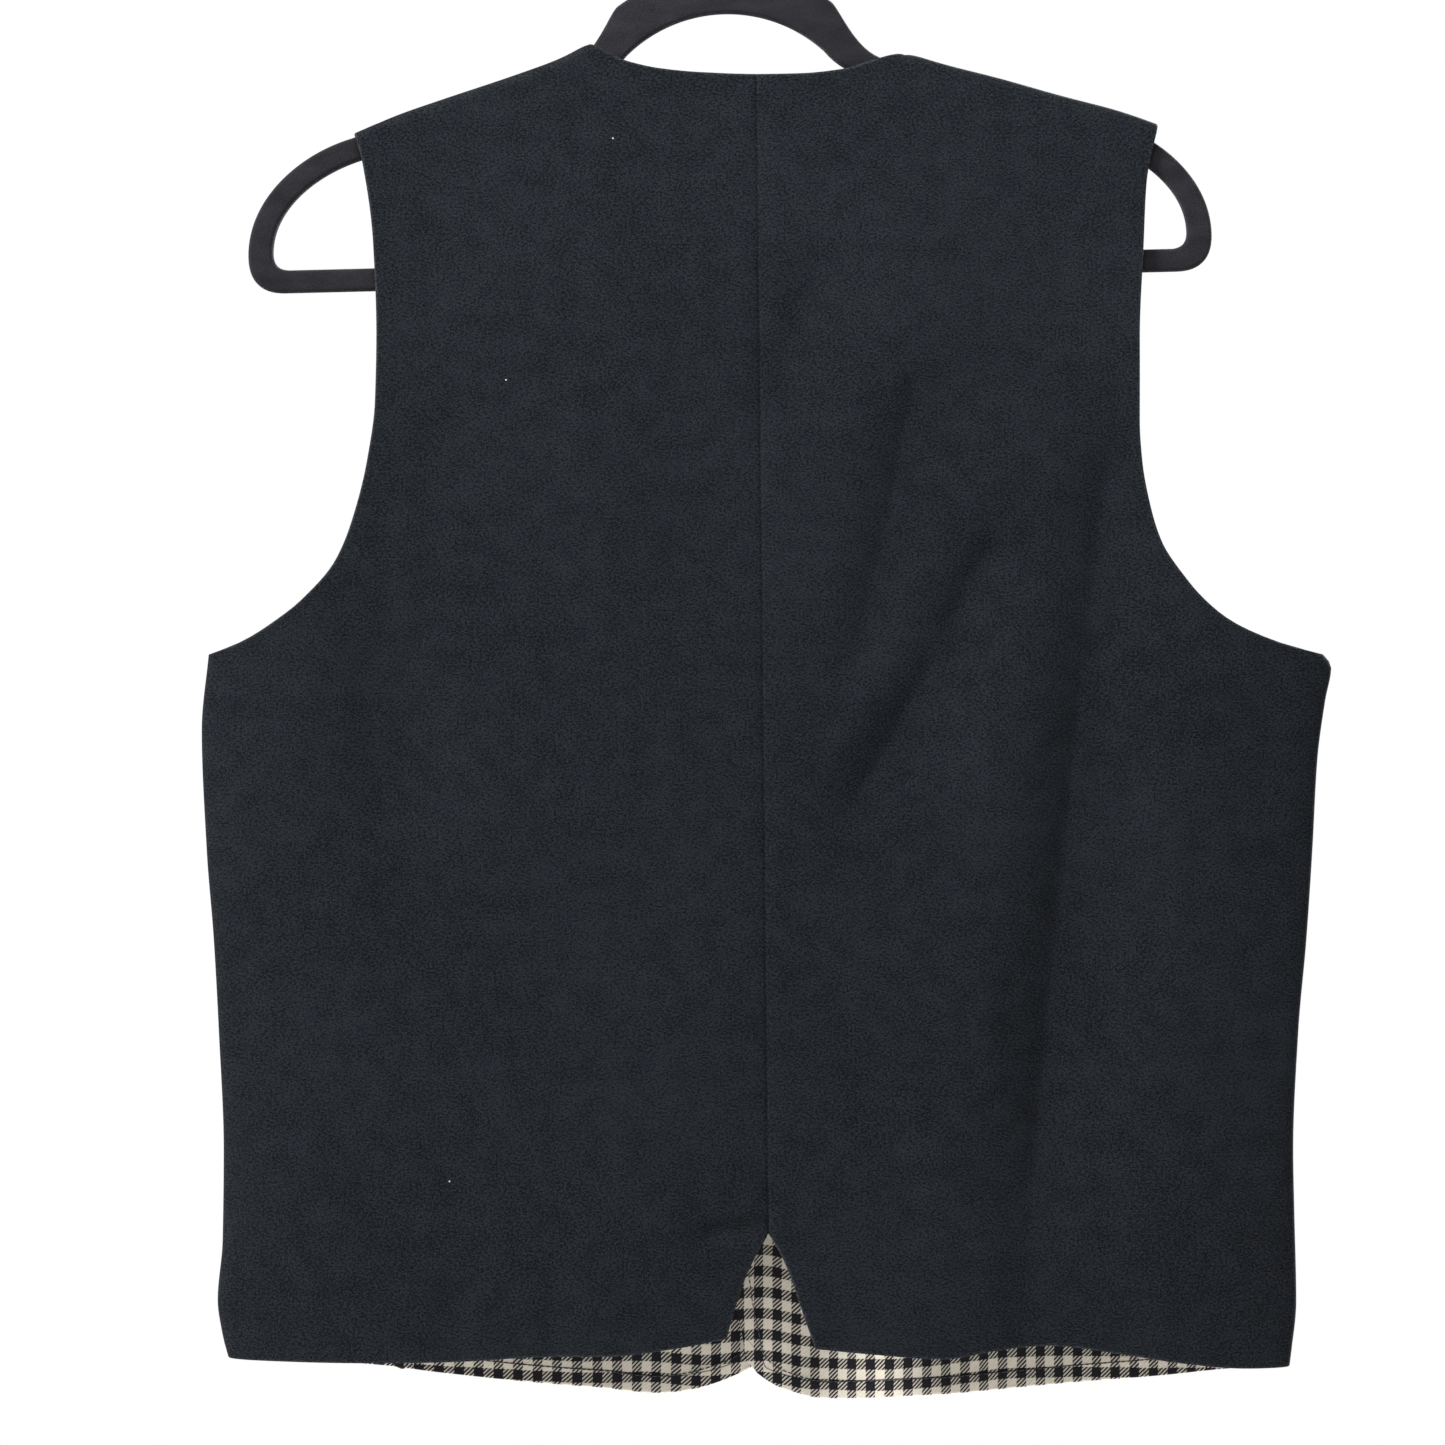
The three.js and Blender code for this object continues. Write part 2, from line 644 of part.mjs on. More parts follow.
// Route of the hook's wire: up from the foot, into the loop, over the top and down to the tip
function hookRoute() {
  const points = [
    [HANGER_OFFSET, HOOK_FOOT_Z + HOOK_FOOT_HEIGHT / 2],
    [HANGER_OFFSET, -72],
    [HANGER_OFFSET, -60],
    [1.5, -50],
    [9, -42],
  ];
  for (let i = 0; i <= HOOK_LOOP_STEPS; i += 1) {
    const angle = THREE.MathUtils.degToRad(lerp(HOOK_NECK_ANGLE, HOOK_TIP_ANGLE, i / HOOK_LOOP_STEPS));
    points.push([HOOK_LOOP * Math.cos(angle), HOOK_LOOP_Z + HOOK_LOOP * Math.sin(angle)]);
  }
  return new THREE.CatmullRomCurve3(points.map(([x, z]) => new THREE.Vector3(x, 0, z)));
}

// A geometry as a solid for joining
function solidOf(wasm, geometry) {
  const bare = geometry.clone();
  bare.deleteAttribute('normal');
  bare.deleteAttribute('uv');
  const merged = BufferGeometryUtils.mergeVertices(bare, 1e-4);
  return new wasm.Manifold(new wasm.Mesh({
    numProp: 3,
    vertProperties: merged.attributes.position.array,
    triVerts: new Uint32Array(merged.index.array),
  }));
}

function geometryOf(solid) {
  const mesh = solid.getMesh();
  const geometry = new THREE.BufferGeometry();
  geometry.setAttribute('position', new THREE.BufferAttribute(mesh.vertProperties, 3));
  geometry.setIndex(new THREE.BufferAttribute(mesh.triVerts, 1));
  return geometry;
}

function hookGeometry(wasm) {
  const section = new THREE.Shape().absarc(0, 0, HOOK_WIRE, 0, Math.PI * 2);
  const wire = new THREE.ExtrudeGeometry(section, {
    extrudePath: hookRoute(),
    steps: HOOK_STEPS,
    curveSegments: HOOK_SIDES / 2,
    bevelEnabled: false,
  });
  const profile = [
    [0, 0],
    [HOOK_FOOT_RADIUS, 0],
    [HOOK_FOOT_RADIUS, HOOK_FOOT_HEIGHT * 0.6],
    [HOOK_WIRE + 0.6, HOOK_FOOT_HEIGHT],
    [0, HOOK_FOOT_HEIGHT],
  ];
  const foot = new THREE.LatheGeometry(profile.map(([r, h]) => new THREE.Vector2(r, h)), HOOK_SIDES * 2);
  foot.rotateX(Math.PI / 2);
  foot.translate(HANGER_OFFSET, 0, HOOK_FOOT_Z);
  return geometryOf(solidOf(wasm, wire).add(solidOf(wasm, foot)));
}

function finish(colour, roughness, metalness = 0) {
  return new THREE.MeshStandardMaterial({ color: colour, roughness, metalness });
}

function add(parent, name, geometry, material) {
  const mesh = new THREE.Mesh(geometry, material);
  mesh.name = name;
  parent.add(mesh);
  return mesh;
}

const wasm = await Module();
wasm.setup();

const navyCloth = finish(0x23272c, 0.95);
const checkedLining = finish(0x77736f, 0.85);
const darkHorn = finish(0x15161a, 0.4);
const blackFlock = finish(0x27272c, 1);
const brightSteel = finish(0xb8babd, 0.25, 1);

const vest = new THREE.Group();

const backLeft = backPanel(-1, 4, 9);
const backRight = backPanel(1, 6, 13);
add(vest, 'back_left', wall(backLeft.grid, backLeft.normals, CLOTH), navyCloth);
add(vest, 'back_right', wall(backRight.grid, backRight.normals, CLOTH), navyCloth);

const frontLeft = frontPanel(-1);
const frontRight = frontPanel(1);
add(vest, 'front_left', wall(frontLeft.grid, frontLeft.normals, CLOTH), navyCloth);
add(vest, 'front_right', wall(frontRight.grid, frontRight.normals, CLOTH), navyCloth);
add(vest, 'lining_front_left', liningWall(frontLeft), checkedLining);
add(vest, 'lining_front_right', liningWall(frontRight), checkedLining);

for (let i = 0; i < BUTTON_COUNT; i += 1) {
  const z = BUTTON_FIRST_Z - i * BUTTON_STEP;
  const button = add(vest, `button_${i + 1}`, buttonGeometry(), darkHorn);
  button.position.set(FRONT_CENTRE, frontY(-1, FRONT_CENTRE, z) + CLOTH / 2 + GAP, z);
}

const hangerGroup = new THREE.Group();
hangerGroup.rotation.y = HANGER_TILT;
add(hangerGroup, 'hanger', hangerGeometry(), blackFlock).position.x = HANGER_OFFSET;
add(hangerGroup, 'hook', hookGeometry(wasm), brightSteel);
vest.add(hangerGroup);

export default vest;
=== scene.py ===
"""A plain men's waistcoat on a slim flocked clothes hanger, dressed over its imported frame.

The shape functions work in millimetres, and the meshes are in metres.
+X is the wearer's right, +Z is up, and the garment's back faces -Y.
"""
import math

import bpy
import numpy as np
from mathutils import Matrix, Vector


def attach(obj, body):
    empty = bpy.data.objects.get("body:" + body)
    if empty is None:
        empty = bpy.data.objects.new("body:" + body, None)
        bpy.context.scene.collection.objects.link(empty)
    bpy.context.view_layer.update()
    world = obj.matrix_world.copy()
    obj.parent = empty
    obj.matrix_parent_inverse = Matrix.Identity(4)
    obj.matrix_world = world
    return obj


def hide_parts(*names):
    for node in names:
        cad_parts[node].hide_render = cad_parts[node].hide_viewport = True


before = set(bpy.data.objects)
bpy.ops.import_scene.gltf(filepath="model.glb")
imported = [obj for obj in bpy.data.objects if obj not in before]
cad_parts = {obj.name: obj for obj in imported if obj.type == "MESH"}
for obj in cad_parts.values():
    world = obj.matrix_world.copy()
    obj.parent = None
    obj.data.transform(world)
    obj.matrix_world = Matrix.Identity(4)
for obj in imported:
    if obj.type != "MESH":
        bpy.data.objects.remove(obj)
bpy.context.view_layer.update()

bl_info = {
    "name": "Waistcoat on a hanger",
    "version": (1, 0, 0),
    "blender": (4, 5, 0),
    "location": "View3D > Sidebar > Waistcoat",
    "description": "Makes a dark waistcoat with a checked lining on a flocked hanger",
    "category": "Object",
}

# Cloth and gaps. Sewn edges run a little into each other, so that no light comes through
GAP = 0.3
SEAM_GAP = -0.04
LINING = 1.0

# Lining: the share of the upper rows that it leaves bare, how far it ends short of the neck's and the
# armhole's edges, from what height on and how slowly this begins at the neck, above the armpit by how much,
# where the line pressed beside its edge ends, the fade of the last two, and what is added past that line
LINING_START = 0.06
LINING_ROLL = 3.0
LINING_ROLL_FROM = -690
LINING_ROLL_FADE = 40
LINING_PIT_CLEAR = 4
PRESSED_TOP = -728
LINING_FADE = 16
PAST_LINE = 20

# Heights that all panels share, and the centre-back seam
PIT_Z = -402.7
VENT_Z = -668.5
NECK_SEAM = (14.8, -134.0)
SEAM_LEAN = 0.0101

# Body depth: how the hung cloth swells from its seams, as (z, back, front)
WRAP_RADIUS = 5.2
WRAP_FADE = 120
SIDE_POWER = 8
CROWN = 0.35
BODY_DEPTH = [
    (-760, 17, 16), (-669, 16, 16), (-540, 15, 16), (-403, 15, 16),
    (-300, 13, 14), (-200, 10, 11), (-110, 8, 9),
]

# Rounding of the two neck points: how sharply the line turns there, and over what length
NECK_TURN = 0.55
NECK_ROUND_LEFT = 2.0
NECK_ROUND_RIGHT = 4.5

# Fronts: they lap by twice LAP_HALF about the centre-front line
FRONT_CENTRE = 15
LAP_HALF = 14
LAP_SHIFT = 1.9
LAP_CLEAR = 3
LAP_RAMP = 25
FRONT_ARMHOLE_INSET = 13

# Outlines as (x, z), from the shoulder ridge down to the hems
RIDGE_LEFT = [
    (-171.4, -161.0), (-150.5, -152.1), (-131.9, -145.6), (-94.8, -133.1), (-76.2, -126.1), (-62.3, -118.7),
]
RIDGE_RIGHT = [
    (83.5, -122.2), (100.2, -128.0), (128.1, -135.4), (156.0, -143.3), (183.8, -150.7), (201.0, -156.8),
]
BACK_NECK = [
    RIDGE_LEFT[-1], (-53.7, -123.9), (-45.8, -127.6), (-29.6, -131.3), (-11.1, -133.1), NECK_SEAM,
    (35.1, -133.6), (56.0, -131.3), (67.5, -127.6), RIDGE_RIGHT[0],
]
ARMHOLE_LEFT = [
    RIDGE_LEFT[0], (-167.2, -175.3), (-162.2, -212.1), (-160.3, -258.1), (-160.8, -285.7), (-164.4, -313.3),
    (-171.3, -340.9), (-178.9, -359.3), (-194.9, -377.7), (-206.8, -386.9), (-221.9, -396.1), (-238.9, PIT_Z),
]
ARMHOLE_RIGHT = [
    RIDGE_RIGHT[-1], (195.4, -184.5), (193.9, -212.1), (191.6, -258.1), (191.7, -295.0), (193.0, -313.3),
    (196.3, -331.7), (201.8, -350.1), (213.8, -368.5), (222.0, -377.7), (233.6, -386.9), (254.0, -396.1),
    (277.9, PIT_Z),
]
SIDE_LEFT = [
    (-238.9, PIT_Z), (-242.1, -437.5), (-239.8, -493.2), (-236.5, -535.0), (-234.2, -576.8), (-231.9, -632.5),
    (-232.4, -674.3), (-234.7, -702.1), (-232.8, -716.1), (-229.6, -728.6),
]
SIDE_RIGHT = [
    (277.9, PIT_Z), (281.6, -408.0), (278.8, -423.5), (275.1, -451.4), (272.8, -493.2), (270.0, -535.0),
    (266.3, -576.8), (263.9, -632.5), (264.4, -660.4), (265.3, -702.1), (262.1, -732.6),
]
VENT_LEFT = [
    (20.6, VENT_Z), (14.0, -679.9), (9.8, -689.1), (6.6, -698.3), (4.0, -706.5), (1.2, -716.7),
]
VENT_RIGHT = [
    (20.6, VENT_Z), (26.9, -679.9), (31.2, -690.0), (34.4, -700.0), (38.0, -710.2), (41.9, -721.2),
]
HEM_BACK_LEFT = [
    (-229.6, -728.6), (-176.6, -728.6), (-133.4, -728.2), (-82.3, -725.0), (-52.0, -724.5), (-20.2, -720.8),
    (1.2, -716.7),
]
HEM_BACK_RIGHT = [
    (41.9, -721.2), (61.6, -723.1), (102.1, -725.9), (123.7, -722.7), (151.0, -720.8), (184.9, -725.0),
    (213.0, -729.1), (239.7, -731.9), (262.1, -732.6),
]
FRONT_EDGE_LEFT = [
    RIDGE_LEFT[-1], (-53, -160), (-33, -220), (-9, -280), (13, -330), (26, -362),
    (FRONT_CENTRE + LAP_HALF, -385), (FRONT_CENTRE + LAP_HALF, -640), (26.5, -680), (22.8, -712),
    (20.2, -727), (13.0, -736.8),
]
FRONT_EDGE_RIGHT = [
    RIDGE_RIGHT[0], (77, -160), (60, -220), (38, -280), (17, -330), (4, -362),
    (FRONT_CENTRE - LAP_HALF, -385), (FRONT_CENTRE - LAP_HALF, -640), (2.5, -680), (5.2, -705),
    (8.6, -722), (10.6, -732), (15.5, -739.0),
]
HEM_FRONT_LEFT = [
    (-229.6, -728.6), (-200.0, -731.0), (-159.0, -734.7), (-133.0, -738.5), (-94.0, -743.2), (-61.5, -745.5),
    (-32.0, -748.6), (-13.0, -746.5), (-4.0, -744.1), (5.6, -740.4), (13.0, -736.8),
]
HEM_FRONT_RIGHT = [
    (15.5, -739.0), (23.5, -744.6), (31.0, -747.4), (42.7, -750.7), (52.0, -751.4), (95.0, -749.3),
    (149.0, -744.6), (198.6, -739.9), (262.1, -732.6),
]

# Folds: a soft trough from (x0, z0) to (x1, z1), as (x0, z0, x1, z1, bend, width, depth, tail).
# bend moves its middle sideways, a negative depth is a ridge, and tail is what is left of it at its low end.
FOLD_END = 0.28
FOLD_LEFT = 0.55
FOLD_RIGHT = 0.36
FOLD_FLOOR = 0.11
FOLDS_BACK = [
    (188, -235, 136, -735, -4, 15, 5.0, 0.6),
    (140, -318, 44, -498, 3, 13, 3.7, 0),
    (93, -250, 54, -432, 2, 12, 3.0, 0),
    (48, -196, 12, -316, 2, 11, 1.8, 0),
    (-178, -352, -154, -500, 3, 16, 2.0, 0),
    (-66, -470, -4, -566, -3, 12, 1.5, 0),
]
CREASES_BACK = [
    (152, -262, 96, -735, -3, 15, -0.9, 0.5),
    (104, -330, 20, -520, 3, 14, -0.6, 0),
    (64, -139, 132, -152, -1, 4.5, 0.9, 0),
    (-14, -669, 21, -664.5, 0.6, 3.6, 2.6, 1),
    (-20, -640, 15, -660, 2, 8, 0.8, 0.3),
    (266, -416, 200, -456, 3, 8, 1.1, 0),
    (262, -436, 208, -505, 4, 8, 0.9, 0),
    (-230, -416, -172, -448, -3, 8, 0.9, 0),
    (-120, -620, -130, -730, 2, 13, 0.9, 0.8),
    (-62, -640, -54, -728, -1, 11, -0.7, 0.9),
    (196, -640, 204, -735, 1, 12, -0.8, 0.9),
    (-140, -188, -118, -330, -3, 13, 0.8, 0),
    (-205, -555, -152, -692, 4, 14, 1.0, 0),
    (52, -560, 92, -690, 3, 12, 0.9, 0),
]
CREASES_FRONT = [
    (-150, -182, -92, -362, -5, 13, 1.7, 0),
    (-186, -362, -148, -525, 4, 15, 2.2, 0),
    (-66, -248, -20, -372, -2, 9, 1.1, 0),
    (-112, -470, -66, -748, 5, 15, 2.3, 0.6),
    (-196, -560, -172, -735, -3, 14, 1.5, 0.7),
    (-30, -600, -34, -750, 2, 12, -1.0, 0.9),
    (170, -190, 118, -362, 4, 13, 1.8, 0),
    (214, -378, 168, -560, -4, 15, 2.2, 0),
    (62, -240, 34, -352, 2, 9, 1.0, 0),
    (148, -505, 104, -752, -4, 15, 2.4, 0.6),
    (232, -560, 208, -742, 3, 14, 1.4, 0.7),
    (60, -610, 66, -752, -2, 13, -0.4, 0.9),
    (-6, -372, -66, -348, 2, 5, 0.8, 0),
    (-6, -452, -62, -470, -2, 5, 0.7, 0),
    (36, -380, 96, -356, -2, 5, 0.7, 0),
    (36, -526, 92, -546, 2, 5, 0.7, 0),
    (-6, -600, -58, -622, -2, 5, 0.6, 0),
    (36, -672, 88, -700, 2, 6, 0.7, 0),
]

# Turned edges, seams and the hem's allowance
TURNED = 8
HEM_TURNED = 50
HEM_STEP = 0.35
SEAM_VALLEY = 0.55
PUCKER = 0.28

# Distance that stands for no such edge or seam near
FAR = 99.0

# Topstitching: the groove that it draws into the cloth, the thread's radius, the share of a stitch's length
# that the thread covers, how deep its ends dip, how deep it lies in the groove, and how far it stands off
# the cloth
STITCH_GROOVE = 0.4
STITCH_GROOVE_WIDTH = 1.1
STITCH_RADIUS = 0.24
STITCH_COVER = 0.74
STITCH_DIP = 0.26
STITCH_SUNK = 0.36
STITCH_ABOVE = 0.12

# Buttonholes: middle, from the centre-front line, half length and half height, and the thread's radius,
# how much it swings and how far it stands off the cloth
SLIT_MIDDLE = -6.5
SLIT_HALF = 10.5
SLIT_HALF_HEIGHT = 0.95
SLIT_THREAD = 0.5
SLIT_THREAD_SWING = 0.12
SLIT_ABOVE = 0.18

# Checked lining: how far its rows are shifted up along x, and for the left front, -1, and the right one, 1,
# the middle of one pale square and the factor on its flat map's widths: under 1 the checks come out wider
ROW_SHIFT = [
    (-240, 12.8), (-57, 0), (-36, 0), (-8, -2.1), (17, 0), (40, -3.6), (58, -4.6), (68, -4.8), (145, 2.0),
    (260, 2.6),
]
PALE_SQUARE = {-1: (-36.5, -736.1), 1: (20.5, -715.9)}
CHECK_STRETCH = {-1: 0.98, 1: 1.032}

# Buttons
BUTTON_FIRST_Z = -376
BUTTON_STEP = 74
BUTTON_COUNT = 5
BUTTON_HEIGHT = 3
BUTTON_FACE = 2.2
BUTTON_HOLE_AT = 1.7
BUTTON_HOLE = 0.8
BUTTON_HOLE_DEPTH = 1.5

# Hanger, in its own upright frame: it hangs a little to the left of the hook and a little tilted
HANGER_TILT = math.radians(-1.4)
HANGER_OFFSET = -2.4
HUMP_Z = -171.4
HUMP_OUTER = 86.4
HUMP_INNER = 66.4
HUMP_OUTER_END = 55
HUMP_INNER_END = 46
BAR_TOP_Z = -219.2
BAR_LOW_Z = -229.7
HANGER_ROUND = 2.1

# Hanger's outlines after the hump, on its right half as (x, z): each row is one stretch, straight or a
# Bezier curve, with its corners and its end. Both outlines take as many steps in a stretch
HUMP_STEPS = 30
STRETCH_STEPS = (16, 40, 30, 14, 60)
STRETCHES_OUTER = [
    [(54, -104.2), (61.5, -127.6), (77, -128.4)],
    [(174.5, -158.8)],
    [(199, -165.5), (223.6, -186), (223.6, -213)],
    [(223.6, -225), (217, BAR_LOW_Z), (207, BAR_LOW_Z)],
    [(0, BAR_LOW_Z)],
]
STRETCHES_INNER = [
    [(52.5, -131.8), (64, -135.6)],
    [(171.5, -169.3)],
    [(193, -176), (212, -192), (212, -211.5)],
    [(212, BAR_TOP_Z), (204, BAR_TOP_Z)],
    [(0, BAR_TOP_Z)],
]

# Hook: a loop with its inner top in the origin, the wire's knots below it, and the foot as (radius, height)
HOOK_INNER = 20
HOOK_LOOP_Z = -HOOK_INNER
HOOK_LOOP_ENDS = (-40, 200)
HOOK_STEM_Z = (-72, -60)
HOOK_NECK = [(1.5, -50), (9, -42)]
HOOK_FOOT_Z = HUMP_Z + HUMP_OUTER + GAP
HOOK_FOOT = [(3.2, 0), (4.8, 0.03), (5, 0.25), (5, 1.5), (4.5, 2.1), (3.1, 2.5), (2.4, 3.0), (1.9, 3.4)]

# Camera and floor, in metres: where the camera stands, and its lens in millimetres
CAMERA_AT = (-0.0007, -1.312, -0.434)
CAMERA_LENS = 70.4
FLOOR_Z = -1.5
FLOOR_RADIUS = 2.2

# Lights: name, place and target, size, power in watts and colour
LIGHTS = [
    ("window", (-3.9, -2.3, 2.2), (0, 0, -0.3), 1.4, 690, (1, 0.99, 0.97)),
    ("top", (0.05, -0.6, 0.45), (0.04, 0, -0.1), 0.5, 12.5, (0.98, 0.99, 1)),
    ("far side", (2.2, 2.0, 1.3), (0, 0, -0.4), 1.3, 420, (1, 0.99, 0.98)),
]


def ease(t):
    """Smooth step from 0 to 1 with no kink at either end: 6 t^5 - 15 t^4 + 10 t^3."""
    t = np.clip(t, 0, 1)
    return t ** 3 * (t * (t * 6 - 15) + 10)


def mix(a, b, t):
    """The point at share t between a and b."""
    return a + (b - a) * t


def through(rows, key=0):
    """A smooth curve through a table's rows that never overshoots them.

    Between two rows it is a cubic. A row's slope is the harmonic mean of the slopes on its two sides,
    or 0 where they turn, and past the table's ends the curve goes on straight.
    """
    table = np.array(sorted(rows, key=lambda row: row[key]), float)
    at, to = table[:, key], table[:, 1 - key]
    slope = np.diff(to) / np.diff(at)
    product = slope[:-1] * slope[1:]
    total = np.where(product > 0, slope[:-1] + slope[1:], 1)
    tangent = np.concatenate([slope[:1], np.where(product > 0, 2 * product / total, 0), slope[-1:]])

    def curve(k):
        k = np.asarray(k, float)
        i = np.clip(np.searchsorted(at, k) - 1, 0, len(at) - 2)
        span = at[i + 1] - at[i]
        t = np.clip((k - at[i]) / span, 0, 1)
        ends = (1 + 2 * t) * (1 - t) ** 2 * to[i] + t * t * (3 - 2 * t) * to[i + 1]
        slopes = t * (1 - t) ** 2 * span * tangent[i] + t * t * (t - 1) * span * tangent[i + 1]
        past = np.minimum(k - at[0], 0) * tangent[0] + np.maximum(k - at[-1], 0) * tangent[-1]
        return ends + slopes + past

    return curve


ridge_left = through(RIDGE_LEFT)
ridge_right = through(RIDGE_RIGHT)
back_neck = through(BACK_NECK)
side_left = through(SIDE_LEFT, key=1)
side_right = through(SIDE_RIGHT, key=1)
back_depth = through([(z, back) for z, back, _ in BODY_DEPTH])
front_depth = through([(z, front) for z, _, front in BODY_DEPTH])


def seam_x(z):
    """The centre-back seam: a straight line that leans as it goes down."""
    return NECK_SEAM[0] + (NECK_SEAM[1] - z) * SEAM_LEAN


def blunted(x):
    """How far the two neck points are lowered to make them round: the gap from a bent line to its arc."""
    left, right = x - RIDGE_LEFT[-1][0], x - RIDGE_RIGHT[0][0]
    low = np.abs(left) - np.hypot(left, NECK_ROUND_LEFT) + np.abs(right) - np.hypot(right, NECK_ROUND_RIGHT)
    return NECK_TURN * low


def ridge_z(x):
    """Height of the shoulder line, with a straight line between the two neck points."""
    (x0, z0), (x1, z1) = RIDGE_LEFT[-1], RIDGE_RIGHT[0]
    between = mix(z0, z1, (x - x0) / (x1 - x0))
    return np.where(x <= x0, ridge_left(x), np.where(x >= x1, ridge_right(x), between)) + blunted(x)


def side_share(x, z):
    """Place of x between the centre seam, 0, and the side seam, 1.

    Above the armpit the side goes straight up.
    """
    centre = seam_x(z)
    low = np.minimum(z, PIT_Z)
    side = np.where(x < centre, side_left(low), side_right(low))
    return np.clip((x - centre) / (side - centre), 0, 1)


def half_depth(depth, x, z):
    """Distance of a panel from the middle plane.

    A quarter circle over the hanger eases into the body's depth, and the body closes to nothing at its sides
    as the square root of 1 - share^8.
    """
    share = side_share(x, z)
    full = depth(z) * np.sqrt(1 - share ** SIDE_POWER) * (1 - CROWN * share * share)
    drop = np.maximum(0, ridge_z(x) - z)
    rest = 1 - np.minimum(drop, WRAP_RADIUS) / WRAP_RADIUS
    wrap = WRAP_RADIUS * np.sqrt(1 - rest * rest)
    return SEAM_GAP / 2 + wrap + (full - WRAP_RADIUS) * ease((drop - WRAP_RADIUS) / WRAP_FADE)


def fold_depth(folds, x, z):
    """Depth of folds by height, faded at both ends of each line.

    On its left a fold drops ever more steeply, as the square of the distance left to its rim, to a small
    round floor, and on its right it rises slowly as a bell.
    """
    total = np.zeros(np.broadcast(x, z).shape)
    for x0, z0, x1, z1, bend, width, depth, tail in folds:
        t = (z - z0) / (z1 - z0)
        across = (x - mix(x0, x1, t) - bend * 4 * t * (1 - t)) / width
        steep = 1 - np.clip((np.hypot(across, FOLD_FLOOR) - FOLD_FLOOR) * FOLD_LEFT, 0, 1)
        section = np.where(across < 0, steep ** 2, np.exp(-(across * FOLD_RIGHT) ** 2))
        low = np.maximum(ease((1 - t) / FOLD_END), tail)
        total += np.where((t > 0) & (t < 1), depth * ease(t / FOLD_END) * low * section, 0)
    return total


def crease_depth(creases, x, z):
    """Depth of creases that may run any way: a bell of the distance from each line, faded at both ends."""
    total = np.zeros(np.broadcast(x, z).shape)
    for x0, z0, x1, z1, bend, width, depth, tail in creases:
        length = math.hypot(x1 - x0, z1 - z0)
        along, up = (x1 - x0) / length, (z1 - z0) / length
        t = ((x - x0) * along + (z - z0) * up) / length
        across = ((z - z0) * along - (x - x0) * up - bend * 4 * t * (1 - t)) / width
        low = np.maximum(ease((1 - t) / FOLD_END), tail * (t < 1.02))
        total += depth * ease(t / FOLD_END) * low * np.exp(-across ** 2)
    return total


def slack(x, z, seed, count=11):
    """The cloth's unevenness: a sum of long, low waves, each with its own direction, length and phase."""
    rng = np.random.default_rng(seed)
    total = np.zeros(np.broadcast(x, z).shape)
    ranges = ((38, 170), (-0.9, 0.9), (0, 6.28))
    lengths, turns, phases = (rng.uniform(low, high, count) for low, high in ranges)
    for length, turn, phase in zip(lengths, turns, phases):
        wave = (x * math.cos(turn) + z * math.sin(turn) * 0.6) / length
        total += 0.0021 * length * np.sin(wave * 2 * math.pi + phase)
    return total


def calm(x, z):
    """Where folds may be: 1 in the panels, 0 at the side seams and on the hanger."""
    return (1 - side_share(x, z) ** SIDE_POWER) * ease((ridge_z(x) - z - WRAP_RADIUS) / WRAP_FADE)


def back_y(x, z):
    """Middle of the back's cloth: minus the body's depth, pushed in by folds, seam valley and puckers."""
    from_seam = np.abs(x - seam_x(z))
    below = ease((NECK_SEAM[1] - z) / 30) * ease((z - VENT_Z) / 18)
    valley = SEAM_VALLEY * np.exp(-(from_seam / 4) ** 2) * below
    pucker = PUCKER * np.exp(-(from_seam / 8) ** 2) * np.sin(z / 2.9 + 1.8 * np.sin(z / 31)) * below
    folds = fold_depth(FOLDS_BACK, x, z) * scale_of_folds() + crease_depth(CREASES_BACK, x, z)
    return (folds + slack(x, z, 7)) * calm(x, z) + valley + pucker - half_depth(back_depth, x, z)


def front_y(side, x, z):
    """Middle of a front's cloth. Where they lap, the left front lies outside the right one."""
    out = side * (x - FRONT_CENTRE - side * (LAP_HALF + LAP_CLEAR))
    shift = side * -LAP_SHIFT * ease(1 - out / LAP_RAMP)
    folds = crease_depth(CREASES_FRONT, x, z) + slack(x, z, 23)
    return half_depth(front_depth, x, z) + shift - folds * calm(x, z)


def scale_of_folds():
    """How deep the main folds are against the frame's own."""
    return bpy.context.scene.waistcoat_sizes.fold_depth


def panel_rows():
    """Row places: 0 to 1 from the top to the armpit, to 2 at the vent's top, to 3 at the hem.

    They crowd on the hanger's round top and at the hem's rolled edge.
    """
    turn = np.radians(np.arange(0, 91, 10))
    top = np.concatenate([WRAP_RADIUS * (1 - np.cos(turn)), [6.5, 8.5, 11]]) / 265
    low = 1 - np.array([2.0, 1.2, 0.75, 0.42, 0.16, 0]) / 60
    return np.concatenate([
        top, np.linspace(top[-1], 1, 84)[1:], np.linspace(1, 2, 88)[1:],
        2 + np.linspace(0, low[0], 24)[1:], 2 + low[1:],
    ])


def panel_columns(even):
    """Column places from the centre edge, 0, to the outer edge, 1, with an even step over most of the panel.

    They crowd at the rolled edge and where the body turns in to the side seam, by even steps of its turn.
    """
    edge = np.array([0, 0.16, 0.42, 0.75, 1.2, 2.0, 3.5]) / 250
    turn = np.radians(np.linspace(41, 90, 15))
    side = np.sin(turn) ** (2 / SIDE_POWER)
    side[-1] = 1
    return np.concatenate([edge, np.linspace(edge[-1], side[0], even)[1:], side[1:]])


